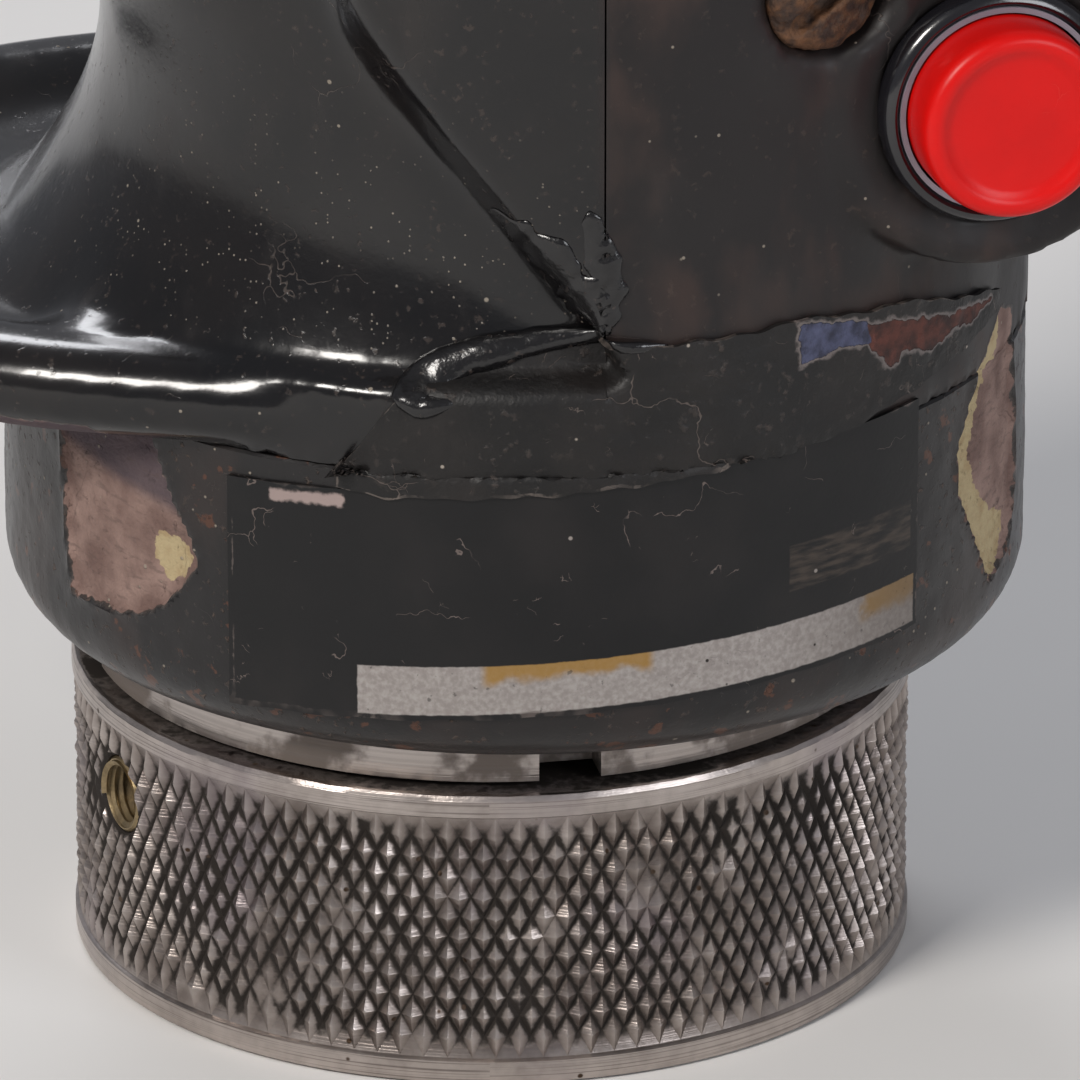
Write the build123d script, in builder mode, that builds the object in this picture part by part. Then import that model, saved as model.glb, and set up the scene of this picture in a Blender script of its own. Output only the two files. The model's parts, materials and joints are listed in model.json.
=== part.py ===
from build123d import *

import math
import os

# A flight-control stick grip with its knurled coupling ring. All sizes are in millimetres.
# +X is the pilot's left, -Y is forward and +Z is up.
# The origin is the centre of the coupling ring's mouth, in its lower face.

os.makedirs("parts", exist_ok=True)

# Fits
running_gap = 0.06  # between a turning piece and what it turns on
slide_gap = 0.12  # round a piece that slides
seat_gap = 0.05  # round a piece that is seated in another
cut_past = 1.0  # how far a cut runs on past the face it leaves by

# Coupling ring
ring_radius = 24.0
ring_height = 17.6
ring_lower_band = 1.6
ring_upper_band = 1.4
knurl_depth = 0.3
ring_edge = 0.4
thread_wall = 2.8
thread_length = 6.8
thread_relief = 0.4
web_length = 8.0
web_width = 5.0

# Set screw in the ring
bush_radius = 2.2
bush_bore = 1.7
bush_height = 12.0
bush_sink = 0.5
set_screw_length = 2.6
set_screw_slot = 0.8
set_screw_angle = -153.1

# Spigot and flange, bolted under the base
spigot_wall = 3.0
spigot_end_gap = 0.4
flange_inset = 1.1
flange_height = 2.9
flange_gap = 0.4
flange_slots = 4
flange_slot_width = 3.5
flange_slot_depth = 2.6
flange_slot_angle = -78.7
flange_screw_radius = 1.0
flange_screw_head = 1.9
flange_screw_head_height = 1.6
flange_screw_floor = 0.4
flange_screw_gap = 0.3
seal_section = 0.58
seal_inset = 1.4
seal_groove = 0.8

# Clip and washer that hold the ring on the spigot
clip_land = 0.8
clip_height = 1.0
clip_groove = 0.9
clip_reach = 1.3
clip_opening_angle = 34.0
washer_width = 1.5

# Base drum
base_radius = 29.0
base_offset = 1.35
base_height = 17.6
base_floor = 4.0
base_wall = 3.2
base_round = 4.0
register_height = 2.5
register_wall = 1.8

# Data label, seated in a shallow recess of the drum
label_start_angle = -32.4
label_end_angle = 49.8
label_low = 3.9
label_height = 13.2
label_thickness = 0.25
label_glue = 0.05
label_recess = 0.25
label_border = 0.15

# Connector
connector_wall = 1.4
connector_inset = 1.0
insert_low = 5.4
insert_height = 9.0
pin_radius = 0.8
pin_reach = 3.4
pin_tail = 2.0
pin_spacing = 4.6
pin_ring_counts = (1, 6, 12)

# Spine inside the grip
spine_foot = 3.0
spine_foot_gap = 0.25
spine_neck_wall = 1.2
spine_neck_gap = 0.3
spine_tube = 9.0
spine_wall = 2.0
spine_cone = 16.0
spine_head_plate = 2.4
spine_head_margin = 1.8

# Grip shells
seam_x = 6.3
shell_wall = 3.6
shell_height = 95.0
tower_height = 43.0
tower_round = 12.0
crease_rise = 7.5
crease_lean_angle = 38.0
crease_reach = 14.3
palm_drop = 33.0
neck_drop = 13.0

# How far the lower sections are drawn in from the drum, in half width and half depth
flare_inset = (0.2, 1.0)
foot_inset = (2.8, 2.4)
heel_inset = (5.6, 3.4)
finger_inset = (5.6, 3.3)

# Grip sections: height over the base drum, centre X and Y, half width and half depth
flare_section = (3.0, -0.5, 0.0, base_radius - flare_inset[0], base_radius - flare_inset[1])
foot_section = (6.5, -0.3, 0.0, base_radius - foot_inset[0], base_radius - foot_inset[1])
heel_section = (12.0, 0.3, 0.0, base_radius - heel_inset[0], base_radius - heel_inset[1])
finger_section = (23.0, 0.3, -0.2, base_radius - finger_inset[0], base_radius - finger_inset[1])
waist_section = (41.0, 1.2, -0.8, 22.0, 25.0)
palm_section = (shell_height - palm_drop, 3.0, -2.0, 20.0, 23.8)
neck_section = (shell_height - neck_drop, 4.2, -3.2, 18.8, 22.4)
top_section = (shell_height, 4.8, -3.8, 19.2, 23.0)
foot_sections = (flare_section, foot_section, heel_section, finger_section)
hand_sections = (finger_section, waist_section, palm_section, neck_section, top_section)

# Palm rest, and the collar of the same height that it grows out of
rest_radius = 28.6
rest_centre = (-16.4, 3.9)
rest_height = 5.0
rest_lip = 6.6
rest_land = 0.2
rest_dish = 2.2

# Pod for the lower push button
pod_radius = 9.6
pod_length = 25.0
pod_round = 4.0
pod_edge = 0.6
pod_bearing_angle = -38.7
pod_stand = 4.6
pod_height = 18.7
pod_turn_angle = 16.0
pod_step = 8.2
pod_step_depth = 0.35
lead_hole = 3.0

# Push buttons: all three share these
button_skirt = 1.4
button_stem = 1.4
button_stop = 0.25
button_dish = 0.35
button_rim = 1.3
button_edge = 0.5
spring_wire = 0.35
spring_turns = 5

# Lower push button, in the pod
lower_cap_radius = 5.36
lower_proud = 4.4
lower_flange = 6.7
lower_flange_height = 1.3
lower_barrel = 6.3
lower_barrel_length = 9.5
lower_travel = 2.0
lower_switch_length = 7.0
lower_sleeve_wall = 0.3

# Release button, on the thumb face
release_cap_radius = 4.6
release_proud = 1.9
release_flange = 6.2
release_flange_height = 2.4
release_barrel = 5.2
release_barrel_length = 7.0
release_travel = 1.5
release_switch_length = 5.0
release_along = 26.0
release_margin = 12.0

# Side button, in the head's cover: Y, and height over the neck seal
side_cap_radius = 3.6
side_proud = 2.4
side_flange = 5.0
side_flange_height = 1.0
side_barrel = 4.3
side_barrel_length = 7.0
side_travel = 1.5
side_switch_length = 5.0
side_button_place = (-14.0, 34.0)

# Screws that hold the shells to the spine: bearing from +X, height over the base drum, arm's reach
shell_screw_angles = (-52.0, 0.0, 180.0, 180.0)
shell_screw_heights = (26.2, shell_height - neck_drop, 26.0, shell_height - palm_drop)
shell_screw_arms = (16.0, 13.0, 13.0, 11.0)
shell_screw_slot_angle = 35.0
shell_screw_radius = 2.0
shell_screw_head = 3.8
shell_screw_head_height = 2.4
shell_screw_proud = 1.0
shell_screw_slot = 1.1
shell_screw_slot_depth = 1.3
arm_radius = 4.4

# Head
neck_seal = 0.8
head_half_width = 21.0
head_wall = 3.2
head_edge = 5.0
head_corner = 6.5
head_neck_rise = 14.0
head_neck_growth = 0.8
head_hole = 7.0
head_floor_hole = 4.6

# Corners of the head's side: Y, and height over the neck seal
chin_low = (-30.0, 9.0)
chin_high = (-34.0, 20.0)
nose_low = (-43.0, 27.0)
nose_high = (-43.0, 45.0)
brow = (-30.0, 58.0)
crown = (-8.0, 61.0)
thumb_edge = (26.0, 34.0)
heel_low = (24.0, 9.0)
head_corners = (chin_low, chin_high, nose_low, nose_high, brow, crown, thumb_edge, heel_low)

# Cover on the head's left side, and the screws of cover and head
cover_thickness = 1.6
cover_border = 6.0
cover_ledge = 2.4
cover_ledge_height = 3.0
cover_screw_inset = 2.8
cover_screw_boss = 3.2
cover_screw_radius = 1.25
cover_screw_head = 2.3
cover_screw_head_height = 1.2
cover_screw_corners = (chin_low, brow, thumb_edge, heel_low)
head_screw_circle = 10.0
head_screw_angles = (-105.0, -35.0, 35.0, 105.0)
head_screw_radius = 1.25
head_screw_head = 2.2
head_screw_head_height = 1.6

# Loom, and the terminal block in the neck where it ends
loom_radius = 2.6
terminal_radius = 7.4
terminal_height = 6.0
lead_radius = 0.9
lead_bend = 5.0
lead_window = 1.5
lead_run = 14.0

# Trigger: the pivot is Y, and height over the neck seal
trigger_pivot = (-35.0, 31.2)
trigger_width = 9.0
trigger_gap = 0.5
trigger_eye = 4.2
trigger_pin_radius = 1.5
trigger_pin_seat = 2.6
trigger_length = 24.0
trigger_hollow = 3.6
trigger_tip = 3.0
trigger_pull_angle = 10.0
slot_low = 6.0
slot_rise = 7.5
slot_back = -24.0
slot_wall = 3.0
trigger_spring_radius = 2.0
trigger_spring_drop = 11.0
trigger_switch_drop = 19.0
trigger_switch_size = (8.0, 9.0, 9.0)
trigger_plunger = 1.1

# Trim hat on the thumb face, on a gimbal in a cup
hat_along = 14.0
hat_margin = 16.0
hat_radius = 6.6
hat_height = 4.0
hat_stand = 3.0
hat_stem = 2.2
hat_notches = 4
hat_notch_width = 2.4
hat_notch_depth = 1.5
hat_dish = 0.8
hat_ball = 3.0
hat_tail = 1.0
hat_tail_length = 4.0
gimbal_depth = 6.0
gimbal_bore = 4.6
gimbal_wall = 1.3
gimbal_height = 2.4
gimbal_pin = 0.8
hat_cup_bore = 6.5
hat_cup_wall = 1.5
hat_cup_depth = 11.0
hat_flange = 9.8
hat_flange_height = 1.4
trim_switch_length = 6.0
trim_switch_radius = 6.6

# Radii that follow from these
thread_radius = ring_radius - thread_wall
spigot_radius = ring_radius - web_width
spigot_bore = spigot_radius - spigot_wall
flange_radius = ring_radius - flange_inset
seal_circle = spigot_bore + seal_inset
connector_radius = spigot_bore - seat_gap
neck_bore = connector_radius + spine_neck_gap
spine_neck = neck_bore + spine_neck_wall
flange_screw_circle = spine_neck + flange_screw_gap + flange_screw_head
drum_bore = base_radius - base_wall
spine_foot_radius = drum_bore - base_offset - spine_foot_gap

# Heights that follow from these
spigot_end = thread_length + spigot_end_gap
clip_low = spigot_end + clip_land
clip_top = clip_low + clip_height
web_low = ring_height - web_length
flange_low = ring_height + flange_gap
base_low = flange_low + flange_height
base_top = base_low + base_height
floor_top = base_low + base_floor
foot_top = floor_top + spine_foot
shell_top = base_top + shell_height
head_low = shell_top + neck_seal
head_floor = head_low + head_wall
head_x = top_section[1]
base_axis = Axis((base_offset, 0, 0), (0, 0, 1))


def tube(plane, low, high, outer, inner=0.0, mode=Mode.ADD):
    """Adds a round bar, or a tube, along a plane's normal to the part being built."""
    with BuildSketch(plane.offset(low)) as section:
        Circle(outer)
        if inner:
            Circle(inner, mode=Mode.SUBTRACT)
    extrude(section.sketch, amount=high - low, mode=mode)


def save(name, part):
    """Labels a finished piece and writes it to its own file."""
    part.label = name
    export_step(part, f"parts/{name}.step")


def bearing_plane(bearing, height):
    """A plane through the spigot's axis whose normal points outwards, at a bearing from +X."""
    turn = math.radians(bearing)
    outward = (math.cos(turn), math.sin(turn), 0)
    return Plane(origin=(0, 0, height), x_dir=(-outward[1], outward[0], 0), z_dir=outward)


def spots_on_circle(radius, bearings):
    """Points on a circle about the spigot's axis."""
    turns = [math.radians(bearing) for bearing in bearings]
    return [(radius * math.cos(turn), radius * math.sin(turn)) for turn in turns]


def slotted_screws(plane, spots, low, seat, shank, head, head_height):
    """Screws along a plane's normal: a shank from low up to the seat, and a slotted head over it."""
    with BuildPart() as screws:
        with BuildSketch(plane.offset(low)):
            with Locations(*spots):
                Circle(shank)
        extrude(amount=seat - low)
        with BuildSketch(plane.offset(seat)):
            with Locations(*spots):
                Circle(head)
        extrude(amount=head_height)
        with BuildSketch(plane.offset(seat + head_height)):
            with Locations(*spots):
                Rectangle(3 * head, head / 3)
        extrude(amount=-head_height / 2, mode=Mode.SUBTRACT)
    return screws.part


def coil(plane, low, high, radius, turns):
    """A compression spring along a plane's normal, with its wire inside low and high."""
    foot = plane.offset(low + spring_wire + seat_gap)
    rise = high - low - 2 * (spring_wire + seat_gap)
    with BuildPart() as spring:
        with BuildLine() as path:
            Helix(rise / turns, rise, radius, center=foot.origin, direction=foot.z_dir)
        with BuildSketch(Plane(origin=path.line @ 0, z_dir=path.line % 0)):
            Circle(spring_wire)
        sweep(is_frenet=True)
    return spring.part


# Knurled coupling ring, which turns on the spigot
set_screw_plane = bearing_plane(set_screw_angle, bush_height)
with BuildPart() as coupling_ring:
    with BuildSketch(Plane.XZ):
        with BuildLine():
            knurl_radius = ring_radius - knurl_depth
            web_bore = spigot_radius + running_gap
            relief_radius = thread_radius + thread_relief
            Polyline(
                (thread_radius, 0),
                (ring_radius - ring_edge, 0),
                (ring_radius, ring_edge),
                (ring_radius, ring_lower_band),
                (knurl_radius, ring_lower_band),
                (knurl_radius, ring_height - ring_upper_band),
                (ring_radius, ring_height - ring_upper_band),
                (ring_radius, ring_height - ring_edge),
                (ring_radius - ring_edge, ring_height),
                (web_bore, ring_height),
                (web_bore, web_low),
                (relief_radius, web_low),
                (relief_radius, thread_length),
                (thread_radius, thread_length),
                close=True,
            )
        make_face()
    revolve(axis=Axis.Z)
    tube(set_screw_plane, 0, ring_radius + cut_past, bush_radius + seat_gap, mode=Mode.SUBTRACT)
save("coupling_ring", coupling_ring.part)

# Brass bush in the ring's side, with the set screw sunk in it
bush_inner_end = spigot_radius + 4 * running_gap
bush_outer_end = ring_radius - bush_sink
set_screw_end = bush_inner_end + set_screw_length
with BuildPart() as set_screw_bush:
    tube(set_screw_plane, bush_inner_end, bush_outer_end, bush_radius, bush_bore)
save("set_screw_bush", set_screw_bush.part)

with BuildPart() as ring_set_screw:
    tube(set_screw_plane, bush_inner_end, set_screw_end, bush_bore - seat_gap)
    with BuildSketch(set_screw_plane.offset(set_screw_end)):
        Rectangle(3 * bush_bore, set_screw_slot)
    extrude(amount=-set_screw_slot, mode=Mode.SUBTRACT)
save("ring_set_screw", ring_set_screw.part)

# Steel spigot with the slotted flange that shows over the ring
flange_screw_bearings = [flange_slot_angle + 45 + 90 * n for n in range(4)]
flange_screw_spots = spots_on_circle(flange_screw_circle, flange_screw_bearings)
with BuildPart() as spigot_flange:
    tube(Plane.XY, spigot_end, flange_low, spigot_radius, spigot_bore)
    tube(Plane.XY, flange_low, base_low, flange_radius, spigot_bore)
    groove_floor = spigot_radius - clip_groove
    tube(Plane.XY, clip_low, clip_top, spigot_radius + cut_past, groove_floor, Mode.SUBTRACT)
    seal_low = base_low - 2 * seal_section - seat_gap
    seal_outer = seal_circle + seal_groove
    tube(Plane.XY, seal_low, base_low, seal_outer, seal_circle - seal_groove, Mode.SUBTRACT)
    for n in range(flange_slots):
        slot_plane = bearing_plane(flange_slot_angle + n * 360 / flange_slots, flange_low)
        with BuildSketch(slot_plane.offset(flange_radius - flange_slot_depth)):
            Rectangle(flange_slot_width, 2 * flange_height)
        extrude(amount=2 * flange_slot_depth, mode=Mode.SUBTRACT)
    with BuildSketch(Plane.XY.offset(flange_low + flange_screw_floor)):
        with Locations(*flange_screw_spots):
            Circle(flange_screw_radius)
    extrude(amount=flange_height, mode=Mode.SUBTRACT)
save("spigot_flange", spigot_flange.part)

with BuildPart() as flange_seal:
    with BuildSketch(Plane.XZ):
        with Locations((seal_circle, base_low - seal_section)):
            Circle(seal_section - seat_gap / 2)
    revolve(axis=Axis.Z)
save("flange_seal", flange_seal.part)

# Open clip in the spigot's groove, under the washer
with BuildPart() as retaining_clip:
    clip_inner = groove_floor + seat_gap
    clip_outer = spigot_radius + clip_reach
    tube(Plane.XY, clip_low + seat_gap, clip_top - seat_gap, clip_outer, clip_inner)
    with BuildSketch(Plane.XY.offset(clip_low)):
        with BuildLine():
            half_opening = math.radians(clip_opening_angle / 2)
            far = 2 * spigot_radius
            far_corner = (far * math.cos(half_opening), far * math.sin(half_opening))
            Polyline((0, 0), far_corner, (far_corner[0], -far_corner[1]), close=True)
        make_face()
    extrude(amount=clip_height, mode=Mode.SUBTRACT)
save("retaining_clip", retaining_clip.part)

with BuildPart() as friction_washer:
    washer_bore = spigot_radius + 4 * seat_gap
    tube(Plane.XY, clip_top, web_low - seat_gap, washer_bore + washer_width, washer_bore)
save("friction_washer", friction_washer.part)


# Base drum: the black casting that carries the label
def label_band(inner, outer, low, high, start, end):
    """A band round the drum, between two bearings from straight ahead."""
    turn = math.radians(start - 90)
    section_plane = Plane(
        origin=(base_offset, 0, 0),
        x_dir=(math.cos(turn), math.sin(turn), 0),
        z_dir=(math.sin(turn), -math.cos(turn), 0),
    )
    with BuildSketch(section_plane) as section:
        with Locations(((inner + outer) / 2, (low + high) / 2)):
            Rectangle(outer - inner, high - low)
    return revolve(section.sketch, axis=base_axis, revolution_arc=end - start, mode=Mode.PRIVATE)


label_floor = base_radius - label_recess
label_bottom = base_low + label_low
label_top = label_bottom + label_height
border_turn = math.degrees(label_border / base_radius)
with BuildPart() as base_housing:
    with BuildSketch(Plane.XY.offset(base_low)):
        with Locations((base_offset, 0)):
            Circle(base_radius)
    extrude(amount=base_height)
    fillet(base_housing.edges().sort_by(Axis.Z)[0], base_round)
    with BuildSketch(Plane.XY.offset(floor_top)):
        with Locations((base_offset, 0)):
            Circle(drum_bore)
    extrude(amount=base_height, mode=Mode.SUBTRACT)
    with BuildSketch(Plane.XY.offset(base_top - base_wall)):
        with Locations((base_offset, 0)):
            Circle(drum_bore)
            Circle(drum_bore - register_wall, mode=Mode.SUBTRACT)
    extrude(amount=base_wall + register_height)
    tube(Plane.XY, base_low, floor_top, connector_radius + seat_gap, mode=Mode.SUBTRACT)
    with BuildSketch(Plane.XY.offset(base_low)):
        with Locations(*flange_screw_spots):
            Circle(flange_screw_radius + seat_gap)
    extrude(amount=base_floor, mode=Mode.SUBTRACT)
    recess = label_band(
        label_floor,
        base_radius + cut_past,
        label_bottom - label_border,
        label_top + label_border,
        label_start_angle - border_turn,
        label_end_angle + border_turn,
    )
    add(recess, mode=Mode.SUBTRACT)
save("base_housing", base_housing.part)

with BuildPart() as data_label:
    label_back = label_floor + label_glue
    label_face = label_back + label_thickness
    label_edges = (label_bottom, label_top, label_start_angle, label_end_angle)
    add(label_band(label_back, label_face, *label_edges))
save("data_label", data_label.part)

# Connector that meets the stick's own plug when the ring is done up
connector_low = spigot_end + connector_inset
insert_base = connector_low + insert_low
insert_top = insert_base + insert_height
pin_top = insert_top + pin_tail
with BuildPart() as connector_shell:
    tube(Plane.XY, connector_low, foot_top, connector_radius, connector_radius - connector_wall)
save("connector_shell", connector_shell.part)

pin_spots = [
    (
        ring * pin_spacing * math.cos(math.tau * n / count),
        ring * pin_spacing * math.sin(math.tau * n / count),
    )
    for ring, count in enumerate(pin_ring_counts)
    for n in range(count)
]
with BuildPart() as connector_insert:
    tube(Plane.XY, insert_base, insert_top, connector_radius - connector_wall - seat_gap)
    with BuildSketch(Plane.XY.offset(insert_base)):
        with Locations(*pin_spots):
            Circle(pin_radius + seat_gap)
    extrude(amount=insert_height, mode=Mode.SUBTRACT)
save("connector_insert", connector_insert.part)

with BuildPart() as connector_pins:
    with BuildSketch(Plane.XY.offset(insert_base - pin_reach)):
        with Locations(*pin_spots):
            Circle(pin_radius)
    extrude(amount=pin_reach + insert_height + pin_tail)
save("connector_pins", connector_pins.part)

# Spine: a flanged tube from the drum's floor to the head, with arms that take the shell screws
tube_bore = spine_tube - spine_wall
arm_start = spine_tube - spine_wall / 2
head_screw_spots = spots_on_circle(head_screw_circle, head_screw_angles)
pod_reach = base_radius + pod_stand
pod_bearing = math.radians(pod_bearing_angle)
pod_turn = math.radians(pod_turn_angle)
pod_plane = Plane(
    origin=(
        base_offset + pod_reach * math.cos(pod_bearing),
        pod_reach * math.sin(pod_bearing),
        base_top + pod_height,
    ),
    x_dir=(math.cos(pod_turn), math.sin(pod_turn), 0),
    z_dir=(math.sin(pod_turn), -math.cos(pod_turn), 0),
)
button_seat = pod_plane.offset(-pod_step_depth)
lead_start = button_seat.offset(-lower_barrel_length - lower_switch_length)
lead_corner = lead_start.origin - lead_start.z_dir * lead_run
lead_bearing = math.degrees(math.atan2(lead_corner.Y, lead_corner.X))
with BuildPart() as spine_frame:
    with BuildSketch(Plane.XZ):
        with BuildLine():
            cone_top = foot_top + spine_cone
            Polyline(
                (neck_bore, floor_top),
                (spine_foot_radius, floor_top),
                (spine_foot_radius, foot_top),
                (spine_neck, foot_top),
                (spine_tube, cone_top),
                (spine_tube, shell_top),
                (tube_bore, shell_top),
                (tube_bore, cone_top - spine_wall / 4),
                (neck_bore, foot_top - spine_wall / 4),
                close=True,
            )
        make_face()
    revolve(axis=Axis.Z)
    for bearing, height, arm_end in zip(shell_screw_angles, shell_screw_heights, shell_screw_arms):
        arm_plane = bearing_plane(bearing, base_top + height)
        tube(arm_plane, arm_start, arm_end, arm_radius)
        tube(arm_plane, tube_bore / 2, arm_end, shell_screw_radius + seat_gap, mode=Mode.SUBTRACT)
    window_plane = bearing_plane(lead_bearing, lead_corner.Z)
    tube(window_plane, tube_bore / 2, spine_neck, lead_window, mode=Mode.SUBTRACT)
    with BuildSketch(Plane.XY.offset(floor_top)):
        with Locations(*flange_screw_spots):
            Circle(flange_screw_radius + seat_gap)
    extrude(amount=spine_foot, mode=Mode.SUBTRACT)
    plate_inset = shell_wall + spine_head_margin
    with BuildSketch(Plane.XY.offset(shell_top - spine_head_plate)):
        with Locations((top_section[1], top_section[2])):
            Ellipse(top_section[3] - plate_inset, top_section[4] - plate_inset)
        Circle(tube_bore, mode=Mode.SUBTRACT)
    extrude(amount=spine_head_plate)
    with BuildSketch(Plane.XY.offset(shell_top - spine_head_plate)):
        with Locations(*head_screw_spots):
            Circle(head_screw_radius + seat_gap)
    extrude(amount=spine_head_plate, mode=Mode.SUBTRACT)
save("spine_frame", spine_frame.part)

flange_screws = slotted_screws(
    Plane.XY,
    flange_screw_spots,
    flange_low + flange_screw_floor + seat_gap,
    foot_top,
    flange_screw_radius,
    flange_screw_head,
    flange_screw_head_height,
)
save("flange_screws", flange_screws)


# Grip shells: one form, hollowed and parted at the seam
def grip_core(inset):
    """The hand grip's lofted body, drawn in all round by an inset."""
    with BuildPart() as core:
        for stretch in (foot_sections, hand_sections):
            for rise, middle_x, middle_y, half_width, half_depth in stretch:
                with BuildSketch(Plane.XY.offset(base_top + rise)):
                    with Locations((middle_x, middle_y)):
                        Ellipse(half_width - inset, half_depth - inset)
            loft()
    return core.part


def grip_tower(inset):
    """The drum's upward extension that carries the pod, cut off at its crease and along its left edge."""
    lean = math.radians(crease_lean_angle)
    normal = Vector(math.cos(lean), 0, math.sin(lean))
    crease_point = Vector(seam_x, 0, base_top + crease_rise) + normal * inset
    with BuildPart() as tower:
        with BuildSketch(Plane.XY.offset(base_top)):
            with Locations((base_offset, 0)):
                Circle(base_radius - inset)
        extrude(amount=tower_height - inset)
        fillet(tower.edges().sort_by(Axis.Z)[-1], tower_round - inset)
        split(bisect_by=Plane(origin=crease_point, z_dir=normal), keep=Keep.TOP)
        split(bisect_by=Plane.YZ.offset(seam_x - crease_reach + inset), keep=Keep.TOP)
    return tower.part


rest_round = (rest_height - rest_land) / 2
with BuildPart() as palm_rest:
    with BuildSketch(Plane.XY.offset(base_top)):
        with Locations((base_offset, 0), rest_centre):
            Circle(rest_radius)
        make_hull()
    extrude(amount=rest_height)
    fillet(palm_rest.edges().filter_by(Plane.XY), rest_round)
    with BuildSketch(Plane.XY.offset(base_top + rest_height)):
        with Locations((base_offset, 0), rest_centre):
            Circle(rest_radius - rest_lip)
        make_hull()
    extrude(amount=-rest_dish, mode=Mode.SUBTRACT)

pod_outward = Axis(pod_plane.origin, pod_plane.z_dir)
with BuildPart() as pod:
    tube(pod_plane, -pod_length, 0, pod_radius)
    fillet(pod.edges().filter_by(GeomType.CIRCLE).sort_by(pod_outward)[0], pod_round)
    fillet(pod.edges().filter_by(GeomType.CIRCLE).sort_by(pod_outward)[-1], pod_edge)

with BuildPart() as grip_form:
    add(grip_core(0))
    with BuildSketch(Plane.XY.offset(base_top)):
        with Locations((base_offset, 0)):
            Circle(base_radius)
    extrude(amount=rest_height)
    add(palm_rest.part)
    add(grip_tower(0))
    add(pod.part)

with BuildPart() as grip_cavity:
    add(grip_core(shell_wall))
    with BuildSketch(Plane.XY.offset(base_top)):
        with Locations((base_offset, 0)):
            Circle(drum_bore + seat_gap)
    extrude(amount=register_height + seat_gap)
    with BuildSketch(Plane.XY.offset(base_top)):
        with Locations((base_offset, 0)):
            Circle(base_radius - shell_wall - button_edge)
    extrude(amount=flare_section[0] + button_edge)
    add(grip_tower(shell_wall))
    add(pod.part, mode=Mode.SUBTRACT)


def reach(form, bearing, height):
    """How far a form's surface stands from the spigot's axis, at a bearing and a height."""
    plane = bearing_plane(bearing, height)
    ray = Edge.make_line(plane.origin, plane.origin + plane.z_dir * 2 * base_radius)
    ends = [corner for edge in form.intersect(ray) for corner in (edge @ 0, edge @ 1)]
    return max((end - plane.origin).length for end in ends)


screw_seats = []
for bearing, height, arm_end in zip(shell_screw_angles, shell_screw_heights, shell_screw_arms):
    surface = reach(grip_form.part, bearing, base_top + height)
    screw_seats.append((bearing_plane(bearing, base_top + height), arm_end, surface))
with BuildPart() as screw_bosses:
    for plane, arm_end, surface in screw_seats:
        tube(plane, arm_end + seat_gap, surface - shell_wall / 2, arm_radius)

with BuildPart() as hollow_grip:
    add(grip_form.part)
    add(grip_cavity.part, mode=Mode.SUBTRACT)
    add(screw_bosses.part)
    for plane, arm_end, surface in screw_seats:
        head_seat = surface + shell_screw_proud - shell_screw_head_height
        tube(plane, arm_end, surface + cut_past, shell_screw_radius + seat_gap, mode=Mode.SUBTRACT)
        tube(plane, head_seat, surface + pod_radius, shell_screw_head + seat_gap, mode=Mode.SUBTRACT)
    tube(pod_plane, -pod_step_depth, cut_past, pod_step, mode=Mode.SUBTRACT)
    pocket_depth = lower_barrel_length + lower_switch_length + seat_gap
    tube(button_seat, -pocket_depth, cut_past, lower_barrel + seat_gap, mode=Mode.SUBTRACT)
    tube(button_seat, -pod_length, 0, lead_hole, mode=Mode.SUBTRACT)

with BuildPart() as right_shell:
    add(hollow_grip.part)
    split(bisect_by=Plane.YZ.offset(seam_x - seat_gap / 2), keep=Keep.BOTTOM)
save("right_shell", right_shell.part)

with BuildPart() as left_shell:
    add(hollow_grip.part)
    split(bisect_by=Plane.YZ.offset(seam_x + seat_gap / 2), keep=Keep.TOP)
save("left_shell", left_shell.part)

with BuildPart() as shell_screws:
    for plane, arm_end, surface in screw_seats:
        head_top = surface + shell_screw_proud
        tube(plane, arm_start, head_top - shell_screw_head_height, shell_screw_radius)
        tube(plane, head_top - shell_screw_head_height, head_top, shell_screw_head)
        with BuildSketch(plane.offset(head_top)):
            Rectangle(3 * shell_screw_head, shell_screw_slot, rotation=shell_screw_slot_angle)
        extrude(amount=-shell_screw_slot_depth, mode=Mode.SUBTRACT)
save("shell_screws", shell_screws.part)


# Push buttons
def push_button(
    name, plane, cap, proud, flange, flange_height, barrel, barrel_length, travel, switch_length, sleeve=0.0
):
    """Writes a push button's bezel, sleeve, cap, spring and switch, along a plane's normal."""
    bore = cap + slide_gap
    bezel_bore = bore + sleeve + seat_gap if sleeve else bore
    with BuildPart() as bezel:
        tube(plane, -barrel_length, 0, barrel, bezel_bore)
        tube(plane, 0, flange_height, flange, bezel_bore)
    save(f"{name}_bezel", bezel.part)
    if sleeve:
        with BuildPart() as liner:
            tube(plane, -barrel_length, flange_height - seat_gap, bore + sleeve, bore)
        save(f"{name}_sleeve", liner.part)
    skirt = travel + button_skirt
    with BuildPart() as button:
        tube(plane, -skirt, proud, cap)
        outward = Axis(plane.origin, plane.z_dir)
        fillet(button.edges().filter_by(GeomType.CIRCLE).sort_by(outward)[-1], button_edge)
        tube(plane, proud - button_dish, proud, cap - button_rim, mode=Mode.SUBTRACT)
        tube(plane, travel + button_stop - barrel_length, -skirt, button_stem)
    save(f"{name}_button", button.part)
    save(f"{name}_spring", coil(plane, -barrel_length, -skirt, (cap + button_stem) / 2, spring_turns))
    with BuildPart() as switch:
        tube(plane, -barrel_length - switch_length, -barrel_length, barrel)
    save(f"{name}_switch", switch.part)


push_button(
    "lower",
    button_seat,
    lower_cap_radius,
    lower_proud,
    lower_flange,
    lower_flange_height,
    lower_barrel,
    lower_barrel_length,
    lower_travel,
    lower_switch_length,
    lower_sleeve_wall,
)

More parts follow.
